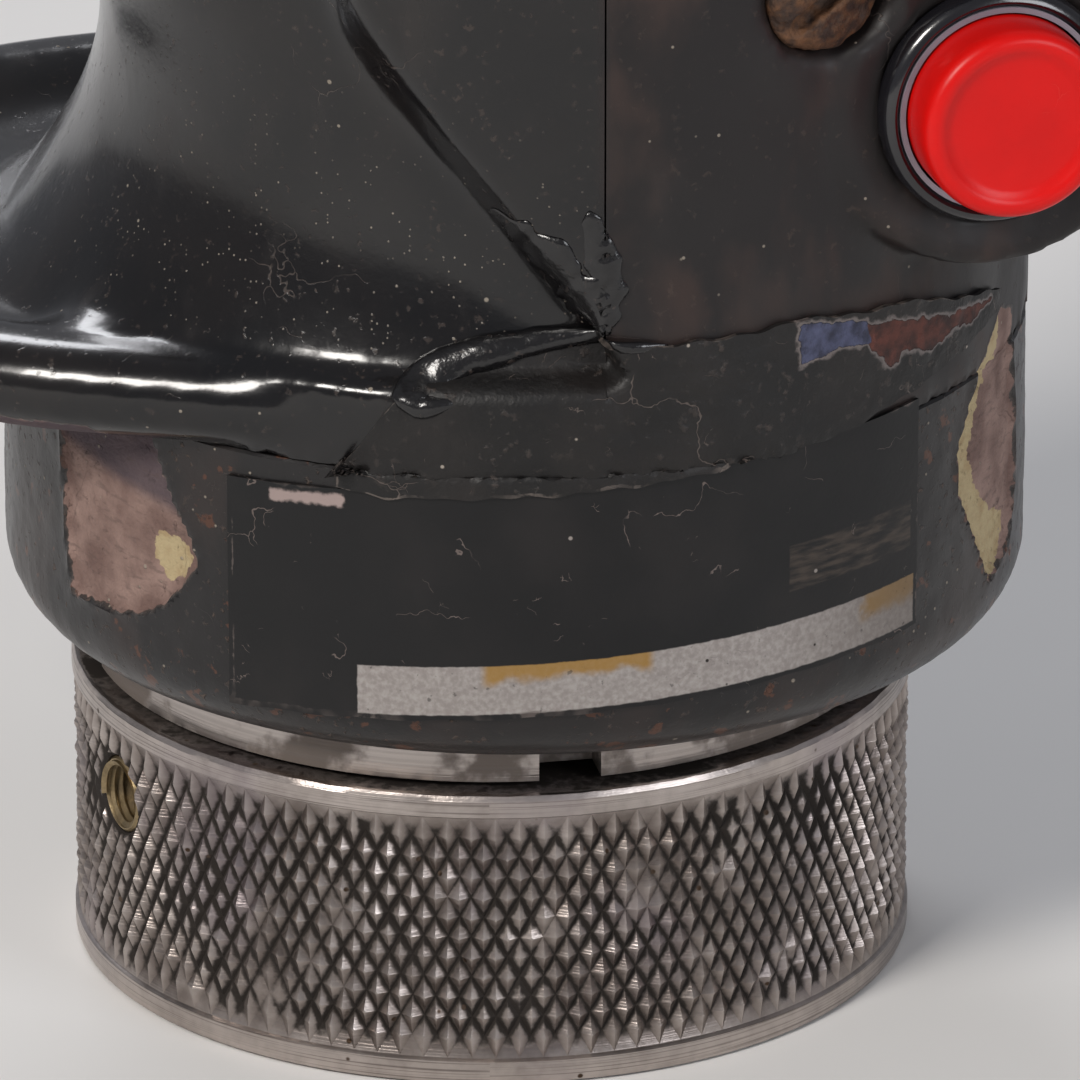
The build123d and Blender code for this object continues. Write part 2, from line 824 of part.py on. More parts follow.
# Neck gasket between the shells and the head
with BuildPart() as neck_gasket:
    with BuildSketch(Plane.XY.offset(shell_top)):
        with Locations((top_section[1], top_section[2])):
            Ellipse(top_section[3] - neck_seal, top_section[4] - neck_seal)
        Circle(head_hole, mode=Mode.SUBTRACT)
        with Locations(*head_screw_spots):
            Circle(head_screw_radius + seat_gap, mode=Mode.SUBTRACT)
    extrude(amount=neck_seal)
save("neck_gasket", neck_gasket.part)

# Head: a housing open on its left side, closed by a cover
head_corner_points = [(y, head_low + rise) for y, rise in head_corners]
cover_corner_points = [(y, head_low + rise) for y, rise in cover_screw_corners]
pivot_height = head_low + trigger_pivot[1]
slot_bottom = head_low + slot_low
slot_top = pivot_height + slot_rise
cover_seat_x = head_x + head_half_width - cover_thickness
ledge_x = cover_seat_x - cover_ledge_height
slot_half_width = trigger_width / 2 + trigger_gap


def head_outline(plane, inset):
    """The head's side outline, drawn in all round by an inset."""
    with BuildSketch(plane) as outline:
        with BuildLine():
            FilletPolyline(*head_corner_points, radius=head_corner, close=True)
        make_face()
        if inset:
            offset(amount=-inset, mode=Mode.REPLACE)
    return outline.sketch


with BuildSketch(Plane.YZ) as screw_outline:
    with BuildLine():
        Polyline(*head_corner_points, close=True)
    make_face()
    offset(amount=-cover_border - cover_screw_inset, kind=Kind.INTERSECTION, mode=Mode.REPLACE)
screw_outline_points = [(point.Y, point.Z) for point in screw_outline.sketch.vertices()]
cover_screw_spots = [
    min(screw_outline_points, key=lambda point: math.dist(point, corner))
    for corner in cover_corner_points
]

# The thumb face runs from the crown down to the thumb edge
thumb_run = Vector(0, thumb_edge[0] - crown[0], thumb_edge[1] - crown[1]).normalized()
thumb_normal = Vector(1, 0, 0).cross(thumb_run)


def thumb_plane(side, along):
    """A plane on the thumb face, at a place across it and down it."""
    crown_point = Vector(head_x + side, crown[0], head_low + crown[1])
    return Plane(origin=crown_point + thumb_run * along, x_dir=(1, 0, 0), z_dir=thumb_normal)


hat_plane = thumb_plane(hat_margin - head_half_width, hat_along)
release_plane = thumb_plane(head_half_width - release_margin, release_along)
side_plane = Plane(
    origin=(head_x + head_half_width, side_button_place[0], head_low + side_button_place[1]),
    x_dir=(0, 1, 0),
    z_dir=(1, 0, 0),
)
hat_cup_radius = hat_cup_bore + hat_cup_wall
pin_half_length = slot_half_width + trigger_pin_seat
pivot_plane = Plane(origin=(head_x, trigger_pivot[0], pivot_height), x_dir=(0, 1, 0), z_dir=(1, 0, 0))
plunger_plane = Plane(
    origin=(head_x, slot_back, pivot_height - trigger_switch_drop), x_dir=(1, 0, 0), z_dir=(0, 1, 0)
)

with BuildPart() as head_form:
    extrude(head_outline(Plane.YZ.offset(head_x), 0), amount=head_half_width, both=True)
    fillet(head_form.faces().filter_by(Axis.X).edges(), head_edge)
    with BuildSketch(Plane.XY.offset(head_low)):
        with Locations((top_section[1], top_section[2])):
            Ellipse(top_section[3], top_section[4])
    with BuildSketch(Plane.XY.offset(head_low + head_neck_rise)):
        with Locations((top_section[1], top_section[2])):
            Ellipse(top_section[3] + head_neck_growth, top_section[4] + head_neck_growth)
    loft()

with BuildPart() as head_housing:
    add(head_form.part)
    cavity_back = Plane.YZ.offset(head_x - head_half_width + head_wall)
    cavity_width = ledge_x - cavity_back.origin.X
    extrude(head_outline(cavity_back, head_wall), amount=cavity_width, mode=Mode.SUBTRACT)
    with BuildSketch(Plane.XY.offset(head_floor)):
        with Locations((top_section[1], top_section[2])):
            Ellipse(top_section[3] - head_wall, top_section[4] - head_wall)
    extrude(amount=head_neck_rise - head_wall, mode=Mode.SUBTRACT)
    slot_middle = (nose_low[0] + slot_back + slot_wall) / 2
    with BuildSketch(Plane.YZ.offset(head_x)):
        with Locations((slot_middle, (slot_bottom + slot_top) / 2)):
            Rectangle(slot_back + slot_wall - nose_low[0], slot_top - slot_bottom + 2 * slot_wall)
    extrude(amount=slot_half_width + slot_wall, both=True)
    add(head_form.part, mode=Mode.INTERSECT)
    with BuildSketch(Plane.YZ.offset(head_x)):
        with Locations((nose_low[0], (slot_bottom + slot_top) / 2)):
            Rectangle(2 * (slot_back - nose_low[0]), slot_top - slot_bottom)
    extrude(amount=slot_half_width, both=True, mode=Mode.SUBTRACT)
    tube(pivot_plane, -pin_half_length, pin_half_length, trigger_pin_radius + seat_gap, mode=Mode.SUBTRACT)
    tube(plunger_plane, -slot_wall, slot_wall, trigger_plunger + slide_gap, mode=Mode.SUBTRACT)
    recess_outline = head_outline(Plane.YZ.offset(cover_seat_x), cover_border)
    extrude(recess_outline, amount=cover_thickness + cut_past, mode=Mode.SUBTRACT)
    opening_outline = head_outline(Plane.YZ.offset(ledge_x), cover_border + cover_ledge)
    extrude(opening_outline, amount=cover_ledge_height, mode=Mode.SUBTRACT)
    with BuildSketch(Plane.YZ.offset(ledge_x)):
        with Locations(*cover_screw_spots):
            Circle(cover_screw_boss)
    extrude(amount=cover_ledge_height)
    with BuildSketch(Plane.YZ.offset(ledge_x)):
        with Locations(*cover_screw_spots):
            Circle(cover_screw_radius + seat_gap)
    extrude(amount=cover_ledge_height, mode=Mode.SUBTRACT)
    with BuildSketch(Plane.XY.offset(head_low)):
        Circle(head_floor_hole)
        with Locations(*head_screw_spots):
            Circle(head_screw_radius + seat_gap)
    extrude(amount=head_wall, mode=Mode.SUBTRACT)
    tube(hat_plane, -2 * head_wall, cut_past, hat_cup_radius + seat_gap, mode=Mode.SUBTRACT)
    tube(release_plane, -2 * head_wall, cut_past, release_barrel + seat_gap, mode=Mode.SUBTRACT)
save("head_housing", head_housing.part)

with BuildPart() as head_cover:
    cover_outline = head_outline(Plane.YZ.offset(cover_seat_x), cover_border + seat_gap)
    extrude(cover_outline, amount=cover_thickness)
    with BuildSketch(Plane.YZ.offset(cover_seat_x)):
        with Locations(*cover_screw_spots):
            Circle(cover_screw_radius + seat_gap)
    extrude(amount=cover_thickness, mode=Mode.SUBTRACT)
    tube(side_plane, -cover_thickness, cut_past, side_barrel + seat_gap, mode=Mode.SUBTRACT)
save("head_cover", head_cover.part)

cover_face_x = head_x + head_half_width
cover_screws = slotted_screws(
    Plane.YZ,
    cover_screw_spots,
    ledge_x,
    cover_face_x,
    cover_screw_radius,
    cover_screw_head,
    cover_screw_head_height,
)
save("cover_screws", cover_screws)

head_screws = slotted_screws(
    Plane.XY,
    head_screw_spots,
    shell_top - spine_head_plate,
    head_floor,
    head_screw_radius,
    head_screw_head,
    head_screw_head_height,
)
save("head_screws", head_screws)

push_button(
    "release",
    release_plane,
    release_cap_radius,
    release_proud,
    release_flange,
    release_flange_height,
    release_barrel,
    release_barrel_length,
    release_travel,
    release_switch_length,
)
push_button(
    "side",
    side_plane,
    side_cap_radius,
    side_proud,
    side_flange,
    side_flange_height,
    side_barrel,
    side_barrel_length,
    side_travel,
    side_switch_length,
)

# Wiring: the loom up the spine, its terminal block, and the lower button's lead
loom_top = head_floor + terminal_height / 2
with BuildPart() as terminal_block:
    tube(Plane.XY, head_floor, head_floor + terminal_height, terminal_radius)
    tube(Plane.XY, head_floor, loom_top, loom_radius + seat_gap, mode=Mode.SUBTRACT)
save("terminal_block", terminal_block.part)

with BuildPart() as wiring_loom:
    tube(Plane.XY, pin_top, loom_top, loom_radius)
save("wiring_loom", wiring_loom.part)

with BuildPart() as lower_lead:
    lead_end = window_plane.offset(loom_radius).origin
    with BuildLine() as lead_path:
        FilletPolyline(lead_start.origin, lead_corner, lead_end, radius=lead_bend)
    with BuildSketch(Plane(origin=lead_start.origin, z_dir=lead_path.line % 0)):
        Circle(lead_radius)
    sweep()
save("lower_lead", lower_lead.part)

# Trigger, its pin, spring and switch
with BuildPart() as trigger:
    eye_y = trigger_pivot[0]
    tip_height = pivot_height - trigger_length
    middle_height = pivot_height - trigger_length / 2
    with BuildSketch(Plane.YZ.offset(head_x - trigger_width / 2)):
        with BuildLine():
            front_top = (eye_y - trigger_eye, pivot_height)
            back_top = (eye_y + trigger_eye, pivot_height)
            front_tip = (eye_y - trigger_eye, tip_height)
            back_tip = (eye_y - trigger_eye + trigger_tip, tip_height)
            ThreePointArc(front_top, (eye_y - trigger_eye + trigger_hollow, middle_height), front_tip)
            Line(front_tip, back_tip)
            ThreePointArc(back_tip, (eye_y + trigger_eye - trigger_tip / 2, middle_height), back_top)
            ThreePointArc(back_top, (eye_y, pivot_height + trigger_eye), front_top)
        make_face()
    extrude(amount=trigger_width)
    tube(pivot_plane, -trigger_width, trigger_width, trigger_pin_radius + running_gap, mode=Mode.SUBTRACT)
save("trigger", trigger.part)

with BuildPart() as trigger_pin:
    tube(pivot_plane, -pin_half_length, pin_half_length, trigger_pin_radius)
save("trigger_pin", trigger_pin.part)

blade_back = eye_y + trigger_eye - trigger_tip / 2
spring_plane = Plane(
    origin=(head_x, blade_back, pivot_height - trigger_spring_drop), x_dir=(1, 0, 0), z_dir=(0, 1, 0)
)
spring_room = slot_back - blade_back
save(
    "trigger_spring",
    coil(spring_plane, trigger_gap, spring_room, trigger_spring_radius, spring_turns),
)

switch_width, switch_depth, switch_height = trigger_switch_size
pull_turn = math.radians(trigger_pull_angle)
plunger_reach = slot_back - blade_back - trigger_switch_drop * math.sin(pull_turn)
with BuildPart() as trigger_switch:
    with BuildSketch(plunger_plane.offset(slot_wall)):
        Rectangle(switch_width, switch_height)
    extrude(amount=switch_depth)
    tube(plunger_plane, -plunger_reach + button_stop, slot_wall, trigger_plunger)
save("trigger_switch", trigger_switch.part)

# Trim hat, its gimbal, cup and switch
gimbal_plane = hat_plane.offset(-gimbal_depth)
gimbal_outer = gimbal_bore + gimbal_wall
pitch_plane = Plane(origin=gimbal_plane.origin, x_dir=thumb_run, z_dir=(1, 0, 0))
roll_plane = Plane(origin=gimbal_plane.origin, x_dir=(1, 0, 0), z_dir=thumb_run)
with BuildPart() as trim_cup:
    tube(hat_plane, -hat_cup_depth, 0, hat_cup_radius, hat_cup_bore)
    tube(hat_plane, -hat_cup_depth - hat_cup_wall, -hat_cup_depth, hat_cup_radius, hat_stem)
    tube(hat_plane, 0, hat_flange_height, hat_flange, hat_cup_bore)
    pin_hole = gimbal_pin + running_gap
    tube(pitch_plane, -hat_flange, hat_flange, pin_hole, mode=Mode.SUBTRACT)
save("trim_cup", trim_cup.part)

with BuildPart() as trim_gimbal:
    tube(gimbal_plane, -gimbal_height / 2, gimbal_height / 2, gimbal_outer, gimbal_bore)
    tube(pitch_plane, gimbal_bore + gimbal_wall / 2, hat_cup_radius - seat_gap, gimbal_pin)
    tube(pitch_plane, seat_gap - hat_cup_radius, -gimbal_bore - gimbal_wall / 2, gimbal_pin)
    tube(roll_plane, -gimbal_outer, gimbal_outer, pin_hole, mode=Mode.SUBTRACT)
save("trim_gimbal", trim_gimbal.part)

knob_low = gimbal_depth + hat_flange_height + hat_stand
with BuildPart() as trim_hat:
    tube(gimbal_plane, knob_low, knob_low + hat_height, hat_radius)
    hat_outward = Axis(gimbal_plane.origin, gimbal_plane.z_dir)
    fillet(trim_hat.edges().filter_by(GeomType.CIRCLE).sort_by(hat_outward)[-1], button_edge)
    with BuildSketch(gimbal_plane.offset(knob_low)):
        with PolarLocations(hat_radius, hat_notches, start_angle=45):
            Rectangle(2 * hat_notch_depth, hat_notch_width)
    extrude(amount=hat_height, mode=Mode.SUBTRACT)
    dish_radius = hat_radius - hat_notch_depth - button_edge
    knob_top = knob_low + hat_height
    tube(gimbal_plane, knob_top - hat_dish, knob_top, dish_radius, mode=Mode.SUBTRACT)
    tube(gimbal_plane, 0, knob_low, hat_stem)
    tube(gimbal_plane, -hat_tail_length, 0, hat_tail)
    tube(roll_plane, -gimbal_outer, gimbal_outer, gimbal_pin)
    with BuildSketch(roll_plane) as ball_half:
        Circle(hat_ball)
        with Locations((-hat_ball, 0)):
            Rectangle(2 * hat_ball, 2 * hat_ball, mode=Mode.SUBTRACT)
    revolve(ball_half.sketch, axis=Axis(gimbal_plane.origin, gimbal_plane.z_dir))
save("trim_hat", trim_hat.part)

with BuildPart() as trim_switch:
    trim_switch_top = -hat_cup_depth - hat_cup_wall
    tube(hat_plane, trim_switch_top - trim_switch_length, trim_switch_top, trim_switch_radius)
save("trim_switch", trim_switch.part)
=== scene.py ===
"""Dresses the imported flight-control stick grip for its final render.

Sizes in this file are in millimetres in the CAD model's frame: the origin is the centre of the coupling
ring's lower face, +Z is up and -Y is forward. They become metres when a piece is finished.
"""

import json
import logging
import math
import random
from dataclasses import dataclass
from enum import Enum
from typing import Callable, Sequence

import bmesh
import bpy
import numpy as np
from mathutils import Matrix, Vector, noise
from mathutils.bvhtree import BVHTree

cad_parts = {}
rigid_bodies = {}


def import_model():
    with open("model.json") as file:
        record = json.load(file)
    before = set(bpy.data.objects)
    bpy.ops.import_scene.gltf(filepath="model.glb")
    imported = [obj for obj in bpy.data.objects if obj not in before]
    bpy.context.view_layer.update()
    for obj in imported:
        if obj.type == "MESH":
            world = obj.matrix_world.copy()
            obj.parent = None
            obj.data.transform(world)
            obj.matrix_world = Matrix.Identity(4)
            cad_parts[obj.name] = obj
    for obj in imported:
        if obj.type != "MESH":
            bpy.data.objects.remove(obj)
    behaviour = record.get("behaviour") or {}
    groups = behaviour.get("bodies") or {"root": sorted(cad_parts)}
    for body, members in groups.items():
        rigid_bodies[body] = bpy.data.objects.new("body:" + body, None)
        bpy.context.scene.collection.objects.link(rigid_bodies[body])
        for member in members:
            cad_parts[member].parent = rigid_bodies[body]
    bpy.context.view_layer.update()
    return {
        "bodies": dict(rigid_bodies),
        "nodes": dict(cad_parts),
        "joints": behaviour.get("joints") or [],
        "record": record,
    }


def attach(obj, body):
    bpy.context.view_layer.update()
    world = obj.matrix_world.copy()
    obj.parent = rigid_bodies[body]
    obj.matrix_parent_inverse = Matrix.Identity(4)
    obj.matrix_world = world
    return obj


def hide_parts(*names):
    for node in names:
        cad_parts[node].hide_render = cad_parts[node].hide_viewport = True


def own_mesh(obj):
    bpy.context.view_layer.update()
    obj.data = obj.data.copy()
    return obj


log = logging.getLogger("stick_grip")

MM = 0.001
Pair = tuple[float, float]
Triple = tuple[float, float, float]

BASE_OFFSET = 1.35
BASE_RADIUS = 29.0
BASE_LOW = 20.9
BASE_TOP = 38.5
REST_TOP = 43.5
SEAM_X = 6.3
LABEL_TILT = 0.054


class Grain(Enum):
    """How a moulded or rubber surface was textured."""

    SMOOTH = "smooth"
    SPARKED = "sparked"
    WOVEN = "woven"


class Wire:
    """A shader socket that takes part in sums, and adds its Math nodes as it goes."""

    def __init__(self, graph: "Graph", socket: bpy.types.NodeSocket) -> None:
        """Holds the socket and the graph it belongs to."""
        self.graph = graph
        self.socket = socket

    def _math(self, operation: str, *terms: "Wire | float") -> "Wire":
        """Adds one Math node.

        Args:
            operation: The node's operation.
            terms: Its inputs, in order.

        Returns:
            The node's output.
        """
        return self.graph.node("ShaderNodeMath", {"operation": operation}, dict(enumerate(terms)))

    def __add__(self, other: "Wire | float") -> "Wire":
        """The sum."""
        return self._math("ADD", self, other)

    __radd__ = __add__

    def __sub__(self, other: "Wire | float") -> "Wire":
        """The difference."""
        return self._math("SUBTRACT", self, other)

    def __rsub__(self, other: "Wire | float") -> "Wire":
        """The difference, the other way round."""
        return self._math("SUBTRACT", other, self)

    def __mul__(self, other: "Wire | float") -> "Wire":
        """The product."""
        return self._math("MULTIPLY", self, other)

    __rmul__ = __mul__

    def __abs__(self) -> "Wire":
        """The size without its sign."""
        return self._math("ABSOLUTE", self)

    def larger(self, other: "Wire | float") -> "Wire":
        """The larger of the two."""
        return self._math("MAXIMUM", self, other)

    def smaller(self, other: "Wire | float") -> "Wire":
        """The smaller of the two."""
        return self._math("MINIMUM", self, other)

    def rise(self, low: float, high: float) -> "Wire":
        """A smooth step.

        Args:
            low: Where the step starts, with 0.
            high: Where it ends, with 1.

        Returns:
            A value from 0 to 1. It falls instead where high is under low.
        """
        if high < low:
            return 1.0 - self.rise(high, low)
        settings = {"interpolation_type": "SMOOTHSTEP"}
        return self.graph.node("ShaderNodeMapRange", settings, {"Value": self, "From Min": low, "From Max": high})


class Graph:
    """One material's node tree, with the patterns that the finishes share."""

    def __init__(self, name: str) -> None:
        """Starts an empty material whose patterns read Object coordinates in millimetres."""
        self.material = bpy.data.materials.new(name)
        self.material.use_nodes = True
        self.tree = self.material.node_tree
        self.tree.nodes.clear()
        metres = self.node("ShaderNodeTexCoord", output="Object")
        self.place = self.node("ShaderNodeVectorMath", {"operation": "SCALE"}, {0: metres, "Scale": 1 / MM})

    def node(
        self,
        kind: str,
        settings: dict[str, object] | None = None,
        inputs: "dict[int | str, Wire | object] | None" = None,
        output: int | str = 0,
    ) -> Wire:
        """Adds one node.

        Args:
            kind: The node's type.
            settings: Its own settings, set first.
            inputs: Values or links, by socket.
            output: The socket to hand back.

        Returns:
            That output.
        """
        made = self.tree.nodes.new(kind)
        for key, value in (settings or {}).items():
            setattr(made, key, value)
        for key, value in (inputs or {}).items():
            socket = made.inputs[key]
            if isinstance(value, Wire):
                self.tree.links.new(value.socket, socket)
            elif isinstance(value, tuple) and socket.type == "RGBA":
                socket.default_value = (*value, 1.0)[:4]
            else:
                socket.default_value = value
        return Wire(self, made.outputs[output])

    def blend(self, amount: "Wire | float", low: "Wire | Triple", high: "Wire | Triple") -> Wire:
        """Mixes two colours.

        Args:
            amount: 0 for the first and 1 for the second.
            low: The first colour.
            high: The second colour.

        Returns:
            The mixed colour.
        """
        return self.node("ShaderNodeMix", {"data_type": "RGBA"}, {0: amount, 6: low, 7: high}, 2)

    def noise(
        self,
        size: float,
        detail: float = 3.0,
        stretch: Triple = (1.0, 1.0, 1.0),
        turn: Triple = (0.0, 0.0, 0.0),
        source: Wire | None = None,
    ) -> Wire:
        """Soft noise from 0 to 1.

        Args:
            size: The size of its patches in millimetres.
            detail: How many finer layers it has.
            stretch: How much finer it is along each axis.
            turn: The pattern's rotation in radians.
            source: The vector it reads, the place on the object by default.

        Returns:
            The noise.
        """
        scale = tuple(each / size for each in stretch)
        inputs = {"Vector": source or self.place, "Rotation": turn, "Scale": scale}
        mapped = self.node("ShaderNodeMapping", {}, inputs)
        return self.node("ShaderNodeTexNoise", {}, {"Vector": mapped, "Scale": 1.0, "Detail": detail})

    def cracks(self, size: float, width: float, keep: float, stretch: Triple = (1.0, 1.0, 1.0)) -> Wire:
        """Broken hair-fine lines.

        Args:
            size: The size of the cells they wander round, in millimetres.
            width: Half their width in millimetres.
            keep: How much of them is left, from 0 to 1.
            stretch: How much finer they are along each axis.

        Returns:
            1 on a line and 0 off it.
        """
        sway = self.node("ShaderNodeTexNoise", {}, {"Vector": self.place, "Scale": 1.8 / size, "Detail": 4.0}, "Color")
        shift = self.node("ShaderNodeVectorMath", {"operation": "SCALE"}, {0: sway, "Scale": 0.9 * size})
        bent = self.node("ShaderNodeVectorMath", {"operation": "ADD"}, {0: self.place, 1: shift})
        scale = tuple(each / size for each in stretch)
        cells = self.node("ShaderNodeMapping", {}, {"Vector": bent, "Scale": scale})
        edges = self.node("ShaderNodeTexVoronoi", {"feature": "DISTANCE_TO_EDGE"}, {"Vector": cells, "Scale": 1.0})
        gate = self.noise(size * 0.8, 3.0, (1.0, 1.3, 0.9)).rise(0.66 - 0.3 * keep, 0.7 - 0.3 * keep)
        return edges.rise(width / size, 0.4 * width / size) * gate

    def specks(self, size: float, radius: float, share: float) -> Wire:
        """Scattered dots.

        Args:
            size: The distance between their places, in millimetres.
            radius: Each dot's radius as a share of that distance.
            share: The share of places that hold a dot.

        Returns:
            1 in a dot and 0 outside.
        """
        inputs = {"Vector": self.place, "Scale": 1 / size}
        distance = self.node("ShaderNodeTexVoronoi", {}, inputs)
        colour = Wire(self, distance.socket.node.outputs["Color"])
        chosen = self.node("ShaderNodeSeparateColor", {}, {0: colour}).rise(1 - share, 1.001 - share)
        return distance.rise(radius, radius / 2) * chosen

    def field(self, name: str) -> Wire:
        """A number painted on the piece's own points, or 0 where it has none."""
        return self.node("ShaderNodeAttribute", {"attribute_name": name}, {}, "Fac")

    def axes(self) -> tuple[Wire, Wire, Wire]:
        """The three coordinates of the place on the object, in millimetres."""
        split = self.node("ShaderNodeSeparateXYZ", {}, {0: self.place})
        return tuple(Wire(self, split.socket.node.outputs[n]) for n in range(3))

    def drum_place(self) -> tuple[Wire, Wire]:
        """The place on the drum.

        Returns:
            The distance round it from straight ahead, and the height along the tilted label.
        """
        x, y, z = self.axes()
        around = (x - BASE_OFFSET)._math("ARCTAN2", x - BASE_OFFSET, y * -1.0) * BASE_RADIUS
        return around, z - around * LABEL_TILT

    def bump(self, height: Wire, depth: float) -> Wire:
        """A normal from a height of 0 to 1 that stands for a depth in millimetres."""
        inputs = {"Height": height, "Strength": 1.0, "Distance": depth * MM}
        return self.node("ShaderNodeBump", {}, inputs)

    def close(
        self,
        colour: "Wire | Triple",
        roughness: "Wire | float",
        metallic: "Wire | float" = 0.0,
        normal: Wire | None = None,
        coat: "Wire | float" = 0.0,
        coat_roughness: float = 0.08,
        shine: float = 0.5,
    ) -> bpy.types.Material:
        """Ends the tree in its shader.

        Args:
            colour: Base Color.
            roughness: Roughness.
            metallic: Metallic.
            normal: Normal, or None for the plain surface.
            coat: Coat Weight.
            coat_roughness: The coat's own roughness.
            shine: Specular IOR Level.

        Returns:
            The finished material.
        """
        inputs = {
            "Base Color": colour,
            "Roughness": roughness,
            "Metallic": metallic,
            "Coat Weight": coat,
            "Coat Roughness": coat_roughness,
            "Specular IOR Level": shine,
        }
        if normal:
            inputs["Normal"] = normal
        shader = self.node("ShaderNodeBsdfPrincipled", {}, inputs)
        output = self.tree.nodes.new("ShaderNodeOutputMaterial")
        self.tree.links.new(shader.socket, output.inputs["Surface"])
        return self.material


@dataclass(frozen=True)
class WornBlack:
    """Black paint or moulding, handled for years: chips, dust, hairline cracks and rubbed patches, with painted shadow
    on the top of a chip under the palm rest's lip.
    """

    deep: Triple = (0.0035, 0.0035, 0.0042)
    faded: Triple = (0.0095, 0.0078, 0.0075)
    gloss: float = 0.16
    matt: float = 0.44
    dust: float = 0.35
    lumps: float = 0.05
    rust: float = 0.0
    grit: float = 0.3
    primer: Triple = (0.15, 0.092, 0.078)
    primer_pale: Triple = (0.29, 0.195, 0.165)
    primer_in_lip_shadow: Triple = (0.06, 0.046, 0.058)
    cream: Triple = (0.43, 0.345, 0.2)

    def build(self, name: str) -> bpy.types.Material:
        """Builds the material, under a name."""
        graph = Graph(name)
        broad = graph.noise(9.0, 4.0)
        middle = graph.noise(1.7, 4.0)
        fine = graph.noise(0.32, 2.0)
        ragged = graph.field("chip") + (graph.noise(0.7, 5.0) - 0.5) * 0.8
        chipped = ragged.rise(1.0, 1.05)
        rim = ragged.rise(0.8, 1.0) * (1.0 - chipped)
        bare = (graph.field("bare") + (graph.noise(0.45, 4.0) - 0.5) * 0.9).rise(1.0, 1.08) * chipped
        matt = graph.field("matt").smaller(1.0)
        cracks = graph.cracks(11.0, 0.035, 0.25)
        dust_and_glints = graph.field("dust_and_glints").smaller(1.0)
        dust = graph.specks(0.62, 0.2, self.dust * 0.12).larger(graph.specks(2.1, 0.08, self.dust * 0.3))
        # Pale specks in the band where the dish's highlight falls: partly dust, partly painted glints of that
        # highlight.
        dust = dust.larger(graph.specks(0.3, 0.26, 0.22) * dust_and_glints * graph.noise(2.2, 3.0).rise(0.4, 0.62))
        grit = graph.noise(0.5, 5.0).rise(0.6, 0.72) * graph.noise(3.0, 3.0).rise(0.35, 0.6) * self.grit
        smears = graph.noise(3.4, 5.0, (1.0, 1.0, 0.4)).rise(0.56, 0.8)
        colour = graph.blend(broad.rise(0.3, 0.75), self.deep, self.faded)
        colour = graph.blend(matt * 0.6, colour, (0.0145, 0.0115, 0.0115))
        patches = graph.noise(6.5, 7.0, (1.0, 1.0, 0.55), (0.4, 0.0, 0.3)).rise(0.46, 0.62)
        colour = graph.blend(patches * matt * 0.75, colour, (0.042, 0.025, 0.0205))
        colour = graph.blend(smears * 0.18, colour, (0.045, 0.036, 0.033))
        colour = graph.blend(grit, colour, (0.085, 0.06, 0.048))
        colour = graph.blend(rim * 0.5, colour, (0.08, 0.058, 0.048))
        colour = graph.blend(cracks * 0.5, colour, (0.1, 0.08, 0.07))
        if self.rust:
            rust = (graph.noise(1.5, 6.0) + self.rust * 0.1 + graph.noise(0.4, 3.0) * 0.15).rise(0.77, 0.81)
            colour = graph.blend(rust * 0.8, colour, (0.085, 0.03, 0.014))
        primer = graph.blend(graph.noise(2.6, 4.0).rise(0.3, 0.72), self.primer, self.primer_pale)
        # Painted shadow: the primer turns darker where the 'shade' field marks the top of the left chip, under the
        # lip's overhang.
        primer = graph.blend(graph.field("shade").smaller(1.0) * 0.85, primer, self.primer_in_lip_shadow)
        grain = graph.noise(0.5, 4.0, (0.35, 0.35, 1.4), (0.1, 0.2, 0.0)).rise(0.55, 0.7)
        primer = graph.blend(grain * 0.4, primer, (0.08, 0.054, 0.048))
        primer = graph.blend(graph.specks(1.3, 0.12, 0.14) * 0.7, primer, (0.03, 0.02, 0.018))
        colour = graph.blend(chipped, colour, primer)
        cream = graph.blend(graph.noise(0.9, 4.0).rise(0.4, 0.75) * 0.6, self.cream, (0.3, 0.2, 0.1))
        colour = graph.blend(bare, colour, cream)
        colour = graph.blend(dust * 0.75, colour, (0.3, 0.26, 0.21))
        roughness = matt * (self.matt - self.gloss) + self.gloss + smears * 0.18 + grit * 0.4
        roughness = (roughness + middle * 0.08 + patches * matt * 0.12).larger(chipped * 0.85).larger(dust * 0.9)
        height = fine * 0.1 + middle * 0.4 + broad * 0.3 + dust * 0.4 - cracks * 0.4 + rim * 0.6 + grit * 0.7
        height = height + graph.noise(0.28, 3.0) * chipped * 0.9
        coat = (1.0 - matt) * (1.0 - chipped) * 0.3
        return graph.close(colour, roughness, 0.0, graph.bump(height, self.lumps), coat, 0.1, 0.38)


